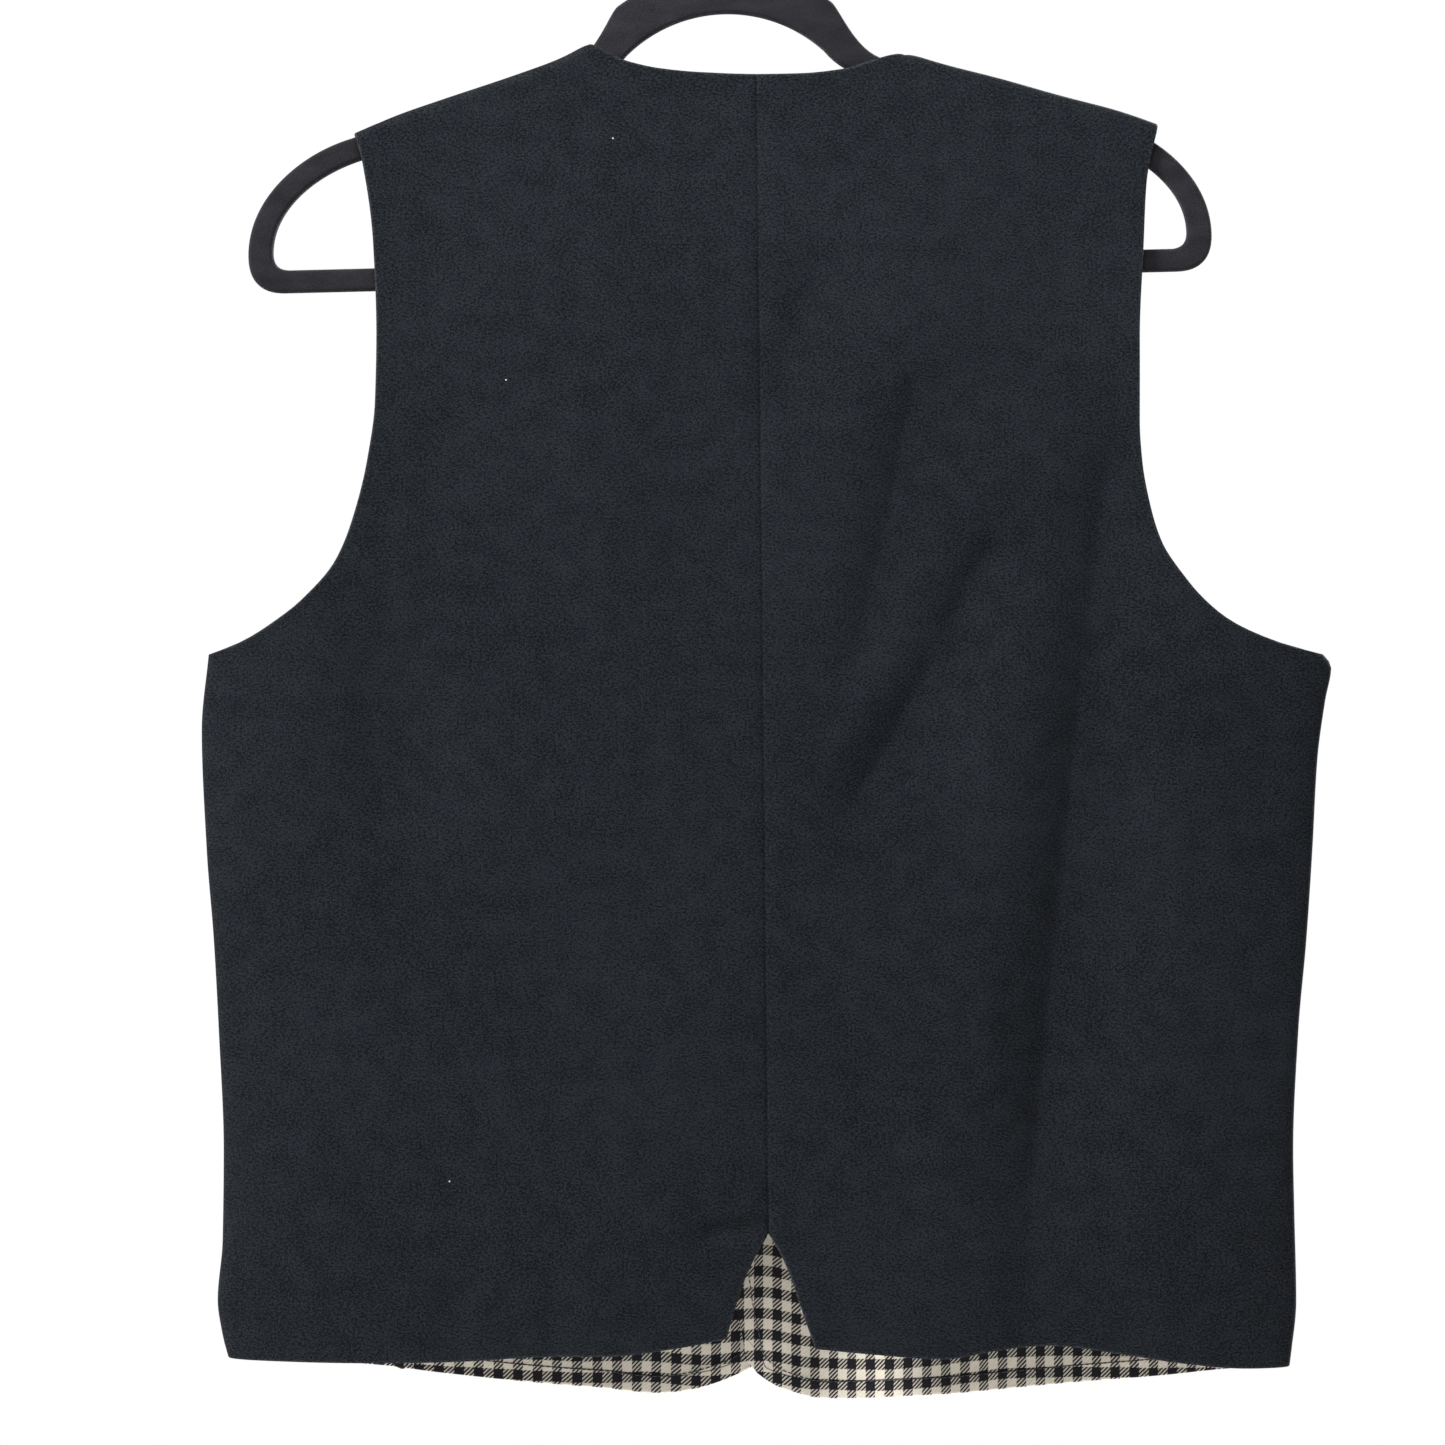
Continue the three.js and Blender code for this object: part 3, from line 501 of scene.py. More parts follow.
def panel_grid(inner, outer, top, hem, top_ends, hem_ends, even=76):
    """A panel's grid of x and z. Each row's ends lie on the panel's edges.

    A row's height eases from the top edge's shape to a level line and on to the hem's shape.
    """
    v, u = panel_rows()[:, None], panel_columns(even)[None, :]
    high, low = top(mix(*top_ends, u)), hem(mix(*hem_ends, u))
    upper, middle, lower = mix(high, PIT_Z, v), mix(PIT_Z, VENT_Z, v - 1), mix(VENT_Z, low, v - 2)
    z = np.where(v <= 1, upper, np.where(v <= 2, middle, lower))
    return mix(inner(z[:, :1]), outer(z[:, -1:]), u), z


def edge_distances(x, z):
    """Distance of each point from the centre edge, the outer edge, the top and the hem, square to each."""
    def lean(line, by):
        return np.sqrt(1 + np.gradient(line, by) ** 2)
    from_inner = np.abs(x - x[:, :1]) / lean(x[:, 0], z[:, 0])[:, None]
    from_outer = np.abs(x - x[:, -1:]) / lean(x[:, -1], z[:, -1])[:, None]
    from_top = (z[:1] - z) / lean(z[0], x[0])
    from_hem = (z - z[-1:]) / lean(z[-1], x[-1])
    return from_inner, from_outer, from_top, from_hem


def surface_normals(points, outward):
    """Unit normals of a grid, from the cross product of its two tangents, turned to the outward side in y."""
    normal = np.cross(np.gradient(points, axis=0), np.gradient(points, axis=1))
    normal /= np.linalg.norm(normal, axis=2, keepdims=True)
    return np.where(normal[..., 1:2] * outward < 0, -normal, normal)


def square_seams(points, normals, side, on_ridge):
    """Ends the wall square to the middle plane at shoulder and side, so that walls meet face to face."""
    along = np.gradient(points[0], axis=0)
    square = np.stack([-along[:, 2], 0 * along[:, 0], along[:, 0]], axis=1)
    square /= np.linalg.norm(square, axis=1, keepdims=True)
    square = np.where(square[:, 2:] < 0, -square, square)
    normals[0] = np.where(on_ridge[:, None], square, normals[0])
    below = points[:, -1, 2] <= PIT_Z + 0.01
    normals[below, -1] = (side, 0, 0)


def cloth_map(points):
    """Flat map of a panel: lengths along the cloth, across from the centre edge and up from the hem."""
    across = np.diff(points, axis=1)
    up = np.diff(points, axis=0)
    wide = np.hypot(across[..., 0], across[..., 1]) * np.sign(across[..., 0])
    tall = np.hypot(up[..., 2], up[..., 1])
    u = points[:, :1, 0] + np.pad(np.cumsum(wide, axis=1), ((0, 0), (1, 0)))
    v = points[-1:, :, 2] + np.pad(np.cumsum(tall[::-1], axis=0)[::-1], ((0, 1), (0, 0)))
    return np.stack([u, v], axis=2)


def rolled(free, seam, thickness):
    """Half thickness of the cloth: round at a free edge, thicker where it is turned, pinched at a seam."""
    radius = thickness * 0.75
    rest = 1 - np.clip(free / radius, 0, 1)
    round_edge = np.maximum(np.sqrt(1 - rest ** 2), 0.2)
    turned = 1 + 0.22 * (1 - ease((free - TURNED) / 2.5))
    pinch = 0.55 + 0.45 * ease(seam / 1.4)
    return thickness / 2 * round_edge * turned * pinch


def grid_quads(rows, columns, start=0, close_rows=False, close_columns=False):
    """Four-cornered faces of a grid of points, numbered row by row."""
    index = np.arange(rows * columns).reshape(rows, columns) + start
    if close_rows:
        index = np.vstack([index, index[:1]])
    if close_columns:
        index = np.hstack([index, index[:, :1]])
    return np.stack([index[:-1, :-1], index[1:, :-1], index[1:, 1:], index[:-1, 1:]], axis=-1).reshape(-1, 4)


def wall(points, normals, half):
    """A closed wall: the grid moved out and in along its normals, with a strip round the rim."""
    rows, columns = half.shape
    shift = normals * half[..., None]
    both = np.concatenate([(points + shift).reshape(-1, 3), (points - shift).reshape(-1, 3)])
    quads = grid_quads(rows, columns)
    inner = quads[:, ::-1] + rows * columns
    index = np.arange(rows * columns).reshape(rows, columns)
    rim = np.concatenate([index[:, 0], index[-1, 1:], index[-2::-1, -1], index[0, -2:0:-1]])
    after = np.roll(rim, -1)
    strip = np.stack([after, rim, rim + rows * columns, after + rows * columns], axis=1)
    return both, np.concatenate([quads, inner, strip])


def tubes(paths, radii, up, sides, closed=False):
    """Round tubes along a stack of paths.

    Each ring is its path's point plus the radius times the cosine across and the sine along the lift,
    which stand square to the path. Open tubes end in a fan of triangles.
    """
    paths = np.asarray(paths, float)
    count, rings, _ = paths.shape
    tangent = np.roll(paths, -1, 1) - np.roll(paths, 1, 1) if closed else np.gradient(paths, axis=1)
    tangent /= np.linalg.norm(tangent, axis=2, keepdims=True)
    across = np.cross(tangent, np.broadcast_to(up, paths.shape))
    across /= np.linalg.norm(across, axis=2, keepdims=True)
    lift = np.cross(across, tangent)
    turn = np.arange(sides) / sides * 2 * math.pi
    ring = np.cos(turn)[:, None] * across[:, :, None] + np.sin(turn)[:, None] * lift[:, :, None]
    radii = np.broadcast_to(radii, (count, rings))
    points = paths[:, :, None] + radii[..., None, None] * ring
    first = np.arange(count)[:, None] * rings * sides
    tube = grid_quads(rings, sides, close_rows=closed, close_columns=True)
    quads = (tube[None] + first[..., None]).reshape(-1, 4)
    if closed:
        return points.reshape(-1, 3), quads, np.zeros((0, 3), int)
    corner = np.arange(1, sides - 1)
    fan = np.stack([0 * corner, corner, corner + 1], axis=1)
    last = fan[:, ::-1] + (rings - 1) * sides
    tris = (np.concatenate([fan, last])[None] + first[..., None]).reshape(-1, 3)
    return points.reshape(-1, 3), quads, tris


def joined(*parts):
    """Several sets of points, quads and triangles as one."""
    points, quads, tris, start = [], [], [], 0
    for part_points, part_quads, part_tris in parts:
        points.append(part_points)
        quads.append(part_quads + start)
        tris.append(part_tris + start)
        start += len(part_points)
    return np.concatenate(points), np.concatenate(quads), np.concatenate(tris)


def volume(points, quads, tris):
    """Signed volume of a closed mesh: the sum of corner products over its triangles."""
    faces = np.concatenate([quads[:, [0, 1, 2]], quads[:, [0, 2, 3]], tris])
    a, b, c = points[faces[:, 0]], points[faces[:, 1]], points[faces[:, 2]]
    return np.einsum("ij,ij->", a, np.cross(b, c))


def make_piece(name, points, quads, tris, material, slot, stands_for=(), cloth_uv=None, marks=None):
    """Puts points in millimetres and their faces, turned outwards, into a mesh on the hanger's body."""
    if not len(points):
        raise RuntimeError(f"{name} has no points")
    if volume(points, quads, tris) < 0:
        quads, tris = quads[:, ::-1], tris[:, ::-1]
    corners = np.concatenate([quads.ravel(), tris.ravel()]).astype(np.int32)
    starts = np.concatenate([np.arange(len(quads)) * 4, len(quads) * 4 + np.arange(len(tris)) * 3])
    mesh = bpy.data.meshes.new(name)
    mesh.vertices.add(len(points))
    mesh.vertices.foreach_set("co", (points / 1000).astype(np.float32).ravel())
    mesh.loops.add(len(corners))
    mesh.loops.foreach_set("vertex_index", corners)
    mesh.polygons.add(len(starts))
    mesh.polygons.foreach_set("loop_start", starts.astype(np.int32))
    mesh.polygons.foreach_set("use_smooth", np.ones(len(starts), bool))
    if cloth_uv is not None:
        layer = mesh.uv_layers.new(name="cloth")
        layer.uv.foreach_set("vector", (cloth_uv[corners] / 1000).astype(np.float32).ravel())
    for mark, values in (marks or {}).items():
        mesh.attributes.new(mark, "FLOAT", "POINT").data.foreach_set("value", values.astype(np.float32))
    mesh.update(calc_edges=True)
    if mesh.validate():
        raise RuntimeError(f"{name} has bad faces")
    mesh.materials.append(material)
    piece = bpy.data.objects.new(name, mesh)
    bpy.context.scene.collection.objects.link(piece)
    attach(piece, "root")
    if stands_for:
        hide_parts(*stands_for)
    return piece


class Finish:
    """A material with short calls for the nodes that these finishes use."""

    def __init__(self, name, colour, roughness, **sockets):
        self.material = bpy.data.materials.new(name)
        self.material.use_nodes = True
        self.tree = self.material.node_tree
        self.shader = self.tree.nodes["Principled BSDF"]
        self.shader.inputs["Base Color"].default_value = (*colour, 1)
        self.shader.inputs["Roughness"].default_value = roughness
        self.material.diffuse_color = (*colour, 1)
        for socket, value in sockets.items():
            self.shader.inputs[socket.replace("_", " ")].default_value = value

    def node(self, kind, inputs=None, **settings):
        node = self.tree.nodes.new(kind)
        for key, value in settings.items():
            setattr(node, key, value)
        for key, value in (inputs or {}).items():
            if isinstance(value, bpy.types.NodeSocket):
                self.tree.links.new(value, node.inputs[key])
            else:
                node.inputs[key].default_value = value
        return node

    def place(self, kind="UV"):
        return self.node("ShaderNodeTexCoord").outputs[kind]

    def turned(self, vector, scale, angle=0.0):
        inputs = {"Vector": vector, "Scale": scale, "Rotation": (0, 0, angle)}
        return self.node("ShaderNodeMapping", inputs).outputs["Vector"]

    def part(self, vector, axis):
        return self.node("ShaderNodeSeparateXYZ", {0: vector}).outputs[axis]

    def sum(self, operation, a, b=0.0):
        return self.node("ShaderNodeMath", {0: a, 1: b}, operation=operation).outputs[0]

    def noise(self, vector, scale, detail=2.0, rough=0.5):
        inputs = {"Vector": vector, "Scale": scale, "Detail": detail, "Roughness": rough}
        return self.node("ShaderNodeTexNoise", inputs).outputs["Fac"]

    def step(self, value, low, high, start=0.0, end=1.0):
        inputs = {"Value": value, "From Min": low, "From Max": high, "To Min": start, "To Max": end}
        return self.node("ShaderNodeMapRange", inputs, interpolation_type="SMOOTHSTEP").outputs[0]

    def blend(self, share, a, b, kind="MIX"):
        node = self.node("ShaderNodeMix", data_type="RGBA", blend_type=kind)
        for key, value in ((0, share), (6, a), (7, b)):
            if isinstance(value, bpy.types.NodeSocket):
                self.tree.links.new(value, node.inputs[key])
            else:
                node.inputs[key].default_value = value if key == 0 else (*value[:3], 1)
        return node.outputs[2]

    def bump(self, height, distance, strength=1.0, before=None):
        inputs = {"Height": height, "Distance": distance, "Strength": strength}
        if before is not None:
            inputs["Normal"] = before
        return self.node("ShaderNodeBump", inputs).outputs["Normal"]

    def into(self, socket, value):
        self.tree.links.new(value, self.shader.inputs[socket])


def tinted(colour, factor):
    """A colour made darker or paler by a factor."""
    return tuple(part * factor for part in colour)


def navy_cloth():
    """Napped wool-like cloth: mottled navy, a fine twill under the nap, pale lint and a worn turned edge."""
    made = bpy.data.materials.get("navy cloth")
    if made:
        return made
    colours = bpy.context.scene.waistcoat_colours
    cloth = Finish("navy cloth", colours.navy, 0.92, Sheen_Weight=0.04, Sheen_Roughness=0.5,
                   Sheen_Tint=(0.75, 0.8, 0.9, 1), Specular_IOR_Level=0.03)
    flat = cloth.place()
    grain = cloth.noise(flat, 1050, 3, 0.65)
    nap = cloth.noise(cloth.turned(flat, (700, 1300, 1), 0.5), 1, 3, 0.6)
    patch = cloth.noise(flat, 90, 2)
    broad = cloth.noise(flat, 11, 2)
    tone = cloth.sum("ADD", cloth.sum("MULTIPLY", grain, 0.48), cloth.sum("MULTIPLY", nap, 0.38))
    tone = cloth.sum("ADD", tone, cloth.sum("MULTIPLY", patch, 0.09))
    tone = cloth.sum("ADD", tone, cloth.sum("MULTIPLY", broad, 0.05))
    colour = cloth.blend(cloth.step(tone, 0.42, 0.58), tinted(colours.navy, 0.35), tinted(colours.navy, 1.9))
    bluish = cloth.step(cloth.noise(flat, 160, 2), 0.5, 0.75, 0, 0.3)
    colour = cloth.blend(bluish, colour, tuple(c * f for c, f in zip(colours.navy, (0.85, 0.9, 1.3))))
    seam = cloth.node("ShaderNodeAttribute", attribute_name="seam").outputs["Fac"]
    sewn = cloth.step(cloth.sum("PINGPONG", cloth.part(flat, 1), 0.0014), 0.0003, 0.0008, 0.15, 0.6)
    sewn = cloth.sum("MULTIPLY", cloth.step(seam, 0.25, 0.8, 1, 0), sewn)
    colour = cloth.blend(sewn, colour, tinted(colours.navy, 0.3))
    edge = cloth.node("ShaderNodeAttribute", attribute_name="edge").outputs["Fac"]
    worn = cloth.sum("MULTIPLY", cloth.step(edge, 0.2, 1.6, 1, 0), cloth.step(nap, 0.4, 0.65, 0.05, 0.45))
    colour = cloth.blend(worn, colour, colours.nap)
    lint = cloth.node("ShaderNodeTexVoronoi", {"Vector": flat, "Scale": 40.0})
    speck = cloth.step(lint.outputs["Distance"], 0.010, 0.021, 1, 0)
    rare = cloth.step(cloth.part(lint.outputs["Color"], 0), 0.91, 0.94)
    colour = cloth.blend(cloth.sum("MULTIPLY", speck, rare), colour, colours.lint)
    cloth.into("Base Color", colour)
    across, up = cloth.part(flat, 0), cloth.part(flat, 1)
    twill = cloth.sum("SINE", cloth.sum("MULTIPLY", cloth.sum("SUBTRACT", up, across), 2 * math.pi / 0.0011))
    height = cloth.sum("ADD", cloth.sum("MULTIPLY", twill, 0.12), cloth.sum("ADD", grain, nap))
    cloth.into("Normal", cloth.bump(height, 0.0005, 0.8, cloth.bump(patch, 0.0012, 0.35)))
    return cloth.material


def checked_lining():
    """Gingham twill: pale and dark yarns in even stripes both ways, which show in turn along fine diagonals.

    Where both yarns are alike the square is plain, and elsewhere the diagonals make it grey: a dark yarn
    covers more than half of it. A pressed dark line runs under the topstitching.
    """
    made = bpy.data.materials.get("checked lining")
    if made:
        return made
    sizes, colours = bpy.context.scene.waistcoat_sizes, bpy.context.scene.waistcoat_colours
    cloth = Finish("checked lining", colours.cream, 0.85, Sheen_Weight=0.04, Specular_IOR_Level=0.16)
    flat = cloth.place()
    wander = cloth.sum("MULTIPLY", cloth.sum("SUBTRACT", cloth.noise(flat, 60, 2), 0.5), 0.0009)
    across = cloth.sum("ADD", cloth.part(flat, 0), wander)
    up = cloth.sum("SUBTRACT", cloth.part(flat, 1), wander)
    grain = cloth.noise(flat, 1500, 2, 0.6)

    def stripe(at, repeat):
        """1 on the pale stripe about each repeat's middle, and 0 on the dark one."""
        saw = cloth.sum("PINGPONG", at, repeat / 2)
        return cloth.step(saw, repeat / 4 - 0.00022, repeat / 4 + 0.00022, 1, 0)

    def yarn(share):
        pale = cloth.blend(grain, tinted(colours.cream, 0.78), tinted(colours.cream, 1.16))
        dark = cloth.blend(grain, tinted(colours.check, 0.7), tinted(colours.check, 1.5))
        return cloth.blend(share, dark, pale)

    diagonal = cloth.sum("PINGPONG", cloth.sum("SUBTRACT", up, across), sizes.twill_pitch / 2)
    shown = cloth.step(diagonal, sizes.twill_pitch * 0.2, sizes.twill_pitch * 0.3)
    warp, weft = stripe(across, sizes.check_width), stripe(up, sizes.check_height)
    either = cloth.node("ShaderNodeMix", {0: shown, 2: warp, 3: weft}).outputs[0]
    grey = cloth.sum("ABSOLUTE", cloth.sum("SUBTRACT", warp, weft))
    darker = cloth.sum("SUBTRACT", 1.0, cloth.sum("MULTIPLY", grey, sizes.dark_cover))
    edge = cloth.node("ShaderNodeAttribute", attribute_name="edge").outputs["Fac"]
    from_line = cloth.sum("ABSOLUTE", cloth.sum("SUBTRACT", edge, sizes.stitch_inset * 1000))
    pressed = cloth.step(from_line, 0.1, 0.55, 0.75, 0)
    woven = yarn(cloth.sum("MULTIPLY", either, darker))
    cloth.into("Base Color", cloth.blend(pressed, woven, colours.check))
    height = cloth.sum("ADD", cloth.sum("MULTIPLY", shown, 0.6), cloth.sum("MULTIPLY", grain, 0.5))
    cloth.into("Normal", cloth.bump(height, 0.00025, 0.7))
    return cloth.material


def thread():
    """Dark sewing thread, twisted and a little shiny."""
    made = bpy.data.materials.get("sewing thread")
    if made:
        return made
    colours = bpy.context.scene.waistcoat_colours
    cloth = Finish("sewing thread", colours.thread, 0.6, Sheen_Weight=0.15)
    here = cloth.place("Object")
    strands = cloth.noise(cloth.turned(here, (2600, 2600, 1400), 0.6), 1, 2)
    colour = cloth.blend(strands, tinted(colours.thread, 0.6), tinted(colours.thread, 1.7))
    cloth.into("Base Color", colour)
    cloth.into("Normal", cloth.bump(strands, 0.0002, 0.8))
    return cloth.material


def black_flock():
    """Velvety flock: short dense fibres that mottle the black and catch light at a grazing angle."""
    colours = bpy.context.scene.waistcoat_colours
    flock = Finish("black flock", colours.flock, 1.0, Sheen_Weight=0.12, Sheen_Roughness=0.38,
                   Sheen_Tint=(0.85, 0.85, 0.95, 1), Specular_IOR_Level=0.1)
    here = flock.place("Object")
    fibres = flock.noise(here, 1900, 3, 0.7)
    brushed = flock.noise(flock.turned(here, (60, 60, 150), 0.3), 1, 2)
    worn = flock.noise(here, 14, 2)
    tone = flock.sum("ADD", flock.sum("MULTIPLY", fibres, 0.55), flock.sum("MULTIPLY", brushed, 0.3))
    tone = flock.sum("ADD", tone, flock.sum("MULTIPLY", worn, 0.15))
    dark, pale = tinted(colours.flock, 0.6), tinted(colours.flock, 1.6)
    flock.into("Base Color", flock.blend(flock.step(tone, 0.32, 0.68), dark, pale))
    flock.into("Normal", flock.bump(fibres, 0.0006, 0.8))
    return flock.material


def bright_steel():
    """Plated steel wire: mirror-like, with faint drawing marks and cloudy patches."""
    colours = bpy.context.scene.waistcoat_colours
    steel = Finish("bright steel", colours.steel, 0.2, Metallic=1.0)
    here = steel.place("Object")
    cloud = steel.noise(here, 130, 3, 0.6)
    marks = steel.noise(steel.turned(here, (900, 900, 2600)), 1, 2)
    wear = steel.sum("ADD", cloud, steel.sum("MULTIPLY", marks, 0.4))
    steel.into("Roughness", steel.step(wear, 0.4, 1.0, 0.14, 0.36))
    steel.into("Base Color", steel.blend(cloud, tinted(colours.steel, 0.85), colours.steel))
    steel.into("Normal", steel.bump(marks, 0.00004, 0.5))
    return steel.material


def dark_button():
    """Horn-like plastic: satin, near black, with faint brown clouds and fine scratches."""
    colours = bpy.context.scene.waistcoat_colours
    horn = Finish("dark button", colours.button, 0.35, Coat_Weight=0.15, Coat_Roughness=0.25)
    here = horn.place("Object")
    cloud = horn.noise(horn.turned(here, (160, 160, 420), 0.4), 1, 3)
    scratch = horn.noise(horn.turned(here, (3000, 300, 500), 0.9), 1, 2)
    brown = tuple(c * f for c, f in zip(colours.button, (2.6, 2.0, 1.6)))
    horn.into("Base Color", horn.blend(horn.step(cloud, 0.45, 0.75, 0, 0.7), colours.button, brown))
    horn.into("Roughness", horn.step(scratch, 0.3, 0.75, 0.28, 0.46))
    horn.into("Normal", horn.bump(scratch, 0.00003, 0.4))
    return horn.material


def side_lines(side, hem_rows):
    """What both panels of a side share: shoulder tip, neck point, armhole and side seam, and the hem's ends.

    side is -1 on the wearer's left and 1 on their right.
    """
    ends = (hem_rows[0][0], hem_rows[-1][0])
    if side < 0:
        return RIDGE_LEFT[0], RIDGE_LEFT[-1], through(ARMHOLE_LEFT, key=1), side_left, ends[::-1]
    return RIDGE_RIGHT[-1], RIDGE_RIGHT[0], through(ARMHOLE_RIGHT, key=1), side_right, ends


def back_panel(side):
    """One half of the back."""
    hem_rows = HEM_BACK_LEFT if side < 0 else HEM_BACK_RIGHT
    tip, neck, armhole, seam, hem_ends = side_lines(side, hem_rows)
    vent = through(VENT_LEFT if side < 0 else VENT_RIGHT, key=1)
    x, z = panel_grid(
        inner=lambda h: np.where(h < VENT_Z, vent(h), seam_x(h)) + side * SEAM_GAP / 2,
        outer=lambda h: np.where(h > PIT_Z, armhole(h), seam(h)),
        top=lambda k: np.where(side * (k - neck[0]) > 0, ridge_z(k), back_neck(k) + blunted(k)),
        hem=through(hem_rows),
        top_ends=(NECK_SEAM[0], tip[0]),
        hem_ends=hem_ends,
        even=130,
    )
    from_inner, from_outer, from_top, from_hem = edge_distances(x, z)
    on_ridge = side * (x[0] - neck[0]) > -0.01
    free = np.minimum(from_hem, np.where(z < VENT_Z - 0.5, from_inner, FAR))
    free = np.minimum(free, np.where(z > PIT_Z, from_outer, FAR))
    free = np.minimum(free, np.where(on_ridge[None, :], FAR, from_top))
    seams = np.minimum(np.where(z < VENT_Z, FAR, from_inner), np.where(z > PIT_Z, FAR, from_outer))
    seams = np.minimum(seams, np.where(on_ridge[None, :], from_top, FAR))
    y = back_y(x, z) - HEM_STEP * ease((HEM_TURNED - from_hem) / 4) * calm(x, z)
    return finished_panel(x, y, z, side, -1, on_ridge, free, seams)


def front_panel(side):
    """One front, which ends at the neck edge, the lapped centre edge and a rounded corner."""
    hem_rows = HEM_FRONT_LEFT if side < 0 else HEM_FRONT_RIGHT
    tip, neck, armhole, seam, hem_ends = side_lines(side, hem_rows)
    edge = through(FRONT_EDGE_LEFT if side < 0 else FRONT_EDGE_RIGHT, key=1)

    def outer(h):
        inset = np.sin(math.pi * (h - tip[1]) / (PIT_Z - tip[1])) * FRONT_ARMHOLE_INSET
        return np.where(h > PIT_Z, armhole(h) - side * inset, seam(h))

    x, z = panel_grid(inner=edge, outer=outer, top=ridge_z, hem=through(hem_rows),
                      top_ends=(neck[0], tip[0]), hem_ends=hem_ends)
    from_inner, from_outer, from_top, from_hem = edge_distances(x, z)
    free = np.minimum(np.minimum(from_inner, from_hem), np.where(z > PIT_Z, from_outer, FAR))
    seams = np.minimum(from_top, np.where(z > PIT_Z, FAR, from_outer))
    from_stitches = np.minimum(from_inner, from_hem) - stitch_inset()
    stitched = STITCH_GROOVE * np.exp(-(from_stitches / STITCH_GROOVE_WIDTH) ** 2)
    y = front_y(side, x, z) - stitched * calm(x, z)
    return finished_panel(x, y, z, side, 1, np.ones(x.shape[1], bool), free, seams)


def finished_panel(x, y, z, side, outward, on_ridge, free, seams):
    """A panel's points with their normals, flat map and distances from free edges and seams."""
    points = np.stack([x, y, z], axis=2)
    normals = surface_normals(points, outward)
    square_seams(points, normals, side, on_ridge)
    flat = cloth_map(points)
    return {"points": points, "normals": normals, "flat": flat, "free": free, "seams": seams, "side": side}


def half_cloth():
    """Half the thickness of the outer cloth."""
    return bpy.context.scene.waistcoat_sizes.cloth * 500


def stitch_inset():
    """How far the topstitching lies from the fronts' edges, in millimetres."""
    return bpy.context.scene.waistcoat_sizes.stitch_inset * 1000


def make_cloth(name, panel, thickness, material, slot, flat_map=None):
    """A panel as a closed wall with its flat map and its distances from free edges and from seams."""
    half = rolled(panel["free"], panel["seams"], thickness)
    points, quads = wall(panel["points"], panel["normals"], half)
    flat = panel["flat"] if flat_map is None else flat_map
    both = np.tile(flat.reshape(-1, 2), (2, 1))
    marks = {"edge": np.tile(panel["free"].ravel(), 2), "seam": np.tile(panel["seams"].ravel(), 2)}
    return make_piece(name, points, quads, np.zeros((0, 3), int), material, slot, (name,), both, marks)


def lining_panel(front):
    """The lining follows its front, moved in by both walls' halves and a gap, and starts below the shoulder.

    Along the neck and the armhole it ends a little short of its front's edge, which rolls over it. The line
    pressed beside its edge ends a little above the hem, so there its distance from the edge is made larger.
    """
    inset = half_cloth() + GAP + LINING / 2
    first = int(np.searchsorted(panel_rows(), LINING_START))
    points = (front["points"] - front["normals"] * inset)[first:]
    across = np.abs(points[..., 0] - points[:, :1, 0])
    height = points[:, :1, 2]
    start = LINING_ROLL * ease((height - LINING_ROLL_FROM) / LINING_ROLL_FADE)
    end = LINING_ROLL * ease((height - PIT_Z - LINING_PIT_CLEAR) / LINING_FADE)
    drawn_in = start + across * (1 - (start + end) / across[:, -1:])
    points = read_along(points, across, drawn_in)
    kept = ("normals", "flat", "free", "seams")
    lower = {key: read_along(front[key][first:], across, drawn_in) for key in kept}
    past_line = PAST_LINE * ease((height - PRESSED_TOP) / LINING_FADE)
    lower["free"] = np.minimum(lower["free"] + past_line, points[:1, :, 2] - points[..., 2])
    return {"points": points, "side": front["side"], **lower}


def read_along(grid, across, places):
    """A grid's values read along each of its rows at other distances from the row's start."""
    layers = grid.reshape(grid.shape[0], grid.shape[1], -1)
    every_row = zip(places, across, layers)
    rows = [[np.interp(place, old, layer) for layer in row.T] for place, old, row in every_row]
    return np.array(rows).transpose(0, 2, 1).reshape(grid.shape)


def check_map(lining):
    """The lining's flat map, with (0, 0) in the middle of a pale square and its rows shifted up along x.

    Its checks come out a little wider on the left front than on the right one.
    """
    at_x, at_z = PALE_SQUARE[lining["side"]]
    shift = through(ROW_SHIFT)
    u, v = lining["flat"][..., 0], lining["flat"][..., 1]
    return np.stack([(u - at_x) * CHECK_STRETCH[lining["side"]], v - at_z - shift(u) + shift(at_x)], axis=2)


def edge_path(side, inset):
    """The line of topstitching in x and z: a front's centre edge and hem, moved in square to themselves."""
    left = side < 0
    edge = through(FRONT_EDGE_LEFT if left else FRONT_EDGE_RIGHT, key=1)
    hem_rows = HEM_FRONT_LEFT if left else HEM_FRONT_RIGHT
    hem = through(hem_rows)
    corner = hem_rows[-1] if left else hem_rows[0]
    far = (hem_rows[0] if left else hem_rows[-1])[0]
    high = np.linspace(-150, corner[1], 500)
    low = np.linspace(corner[0], far - side * 7, 300)[1:]
    line = np.concatenate([np.stack([edge(high), high], 1), np.stack([low, hem(low)], 1)])
    step = np.gradient(line, axis=0)
    step /= np.linalg.norm(step, axis=1, keepdims=True)
    inward = np.stack([-step[:, 1], step[:, 0]], 1) * side
    moved = line + inward * inset
    kept = np.concatenate([[True], np.einsum("ij,ij->i", np.diff(moved, axis=0), step[1:]) > 0])
    return moved[kept]


def lengths_along(line):
    """Length of a line from its start to each of its points."""
    return np.concatenate([[0], np.cumsum(np.linalg.norm(np.diff(line, axis=0), axis=1))])


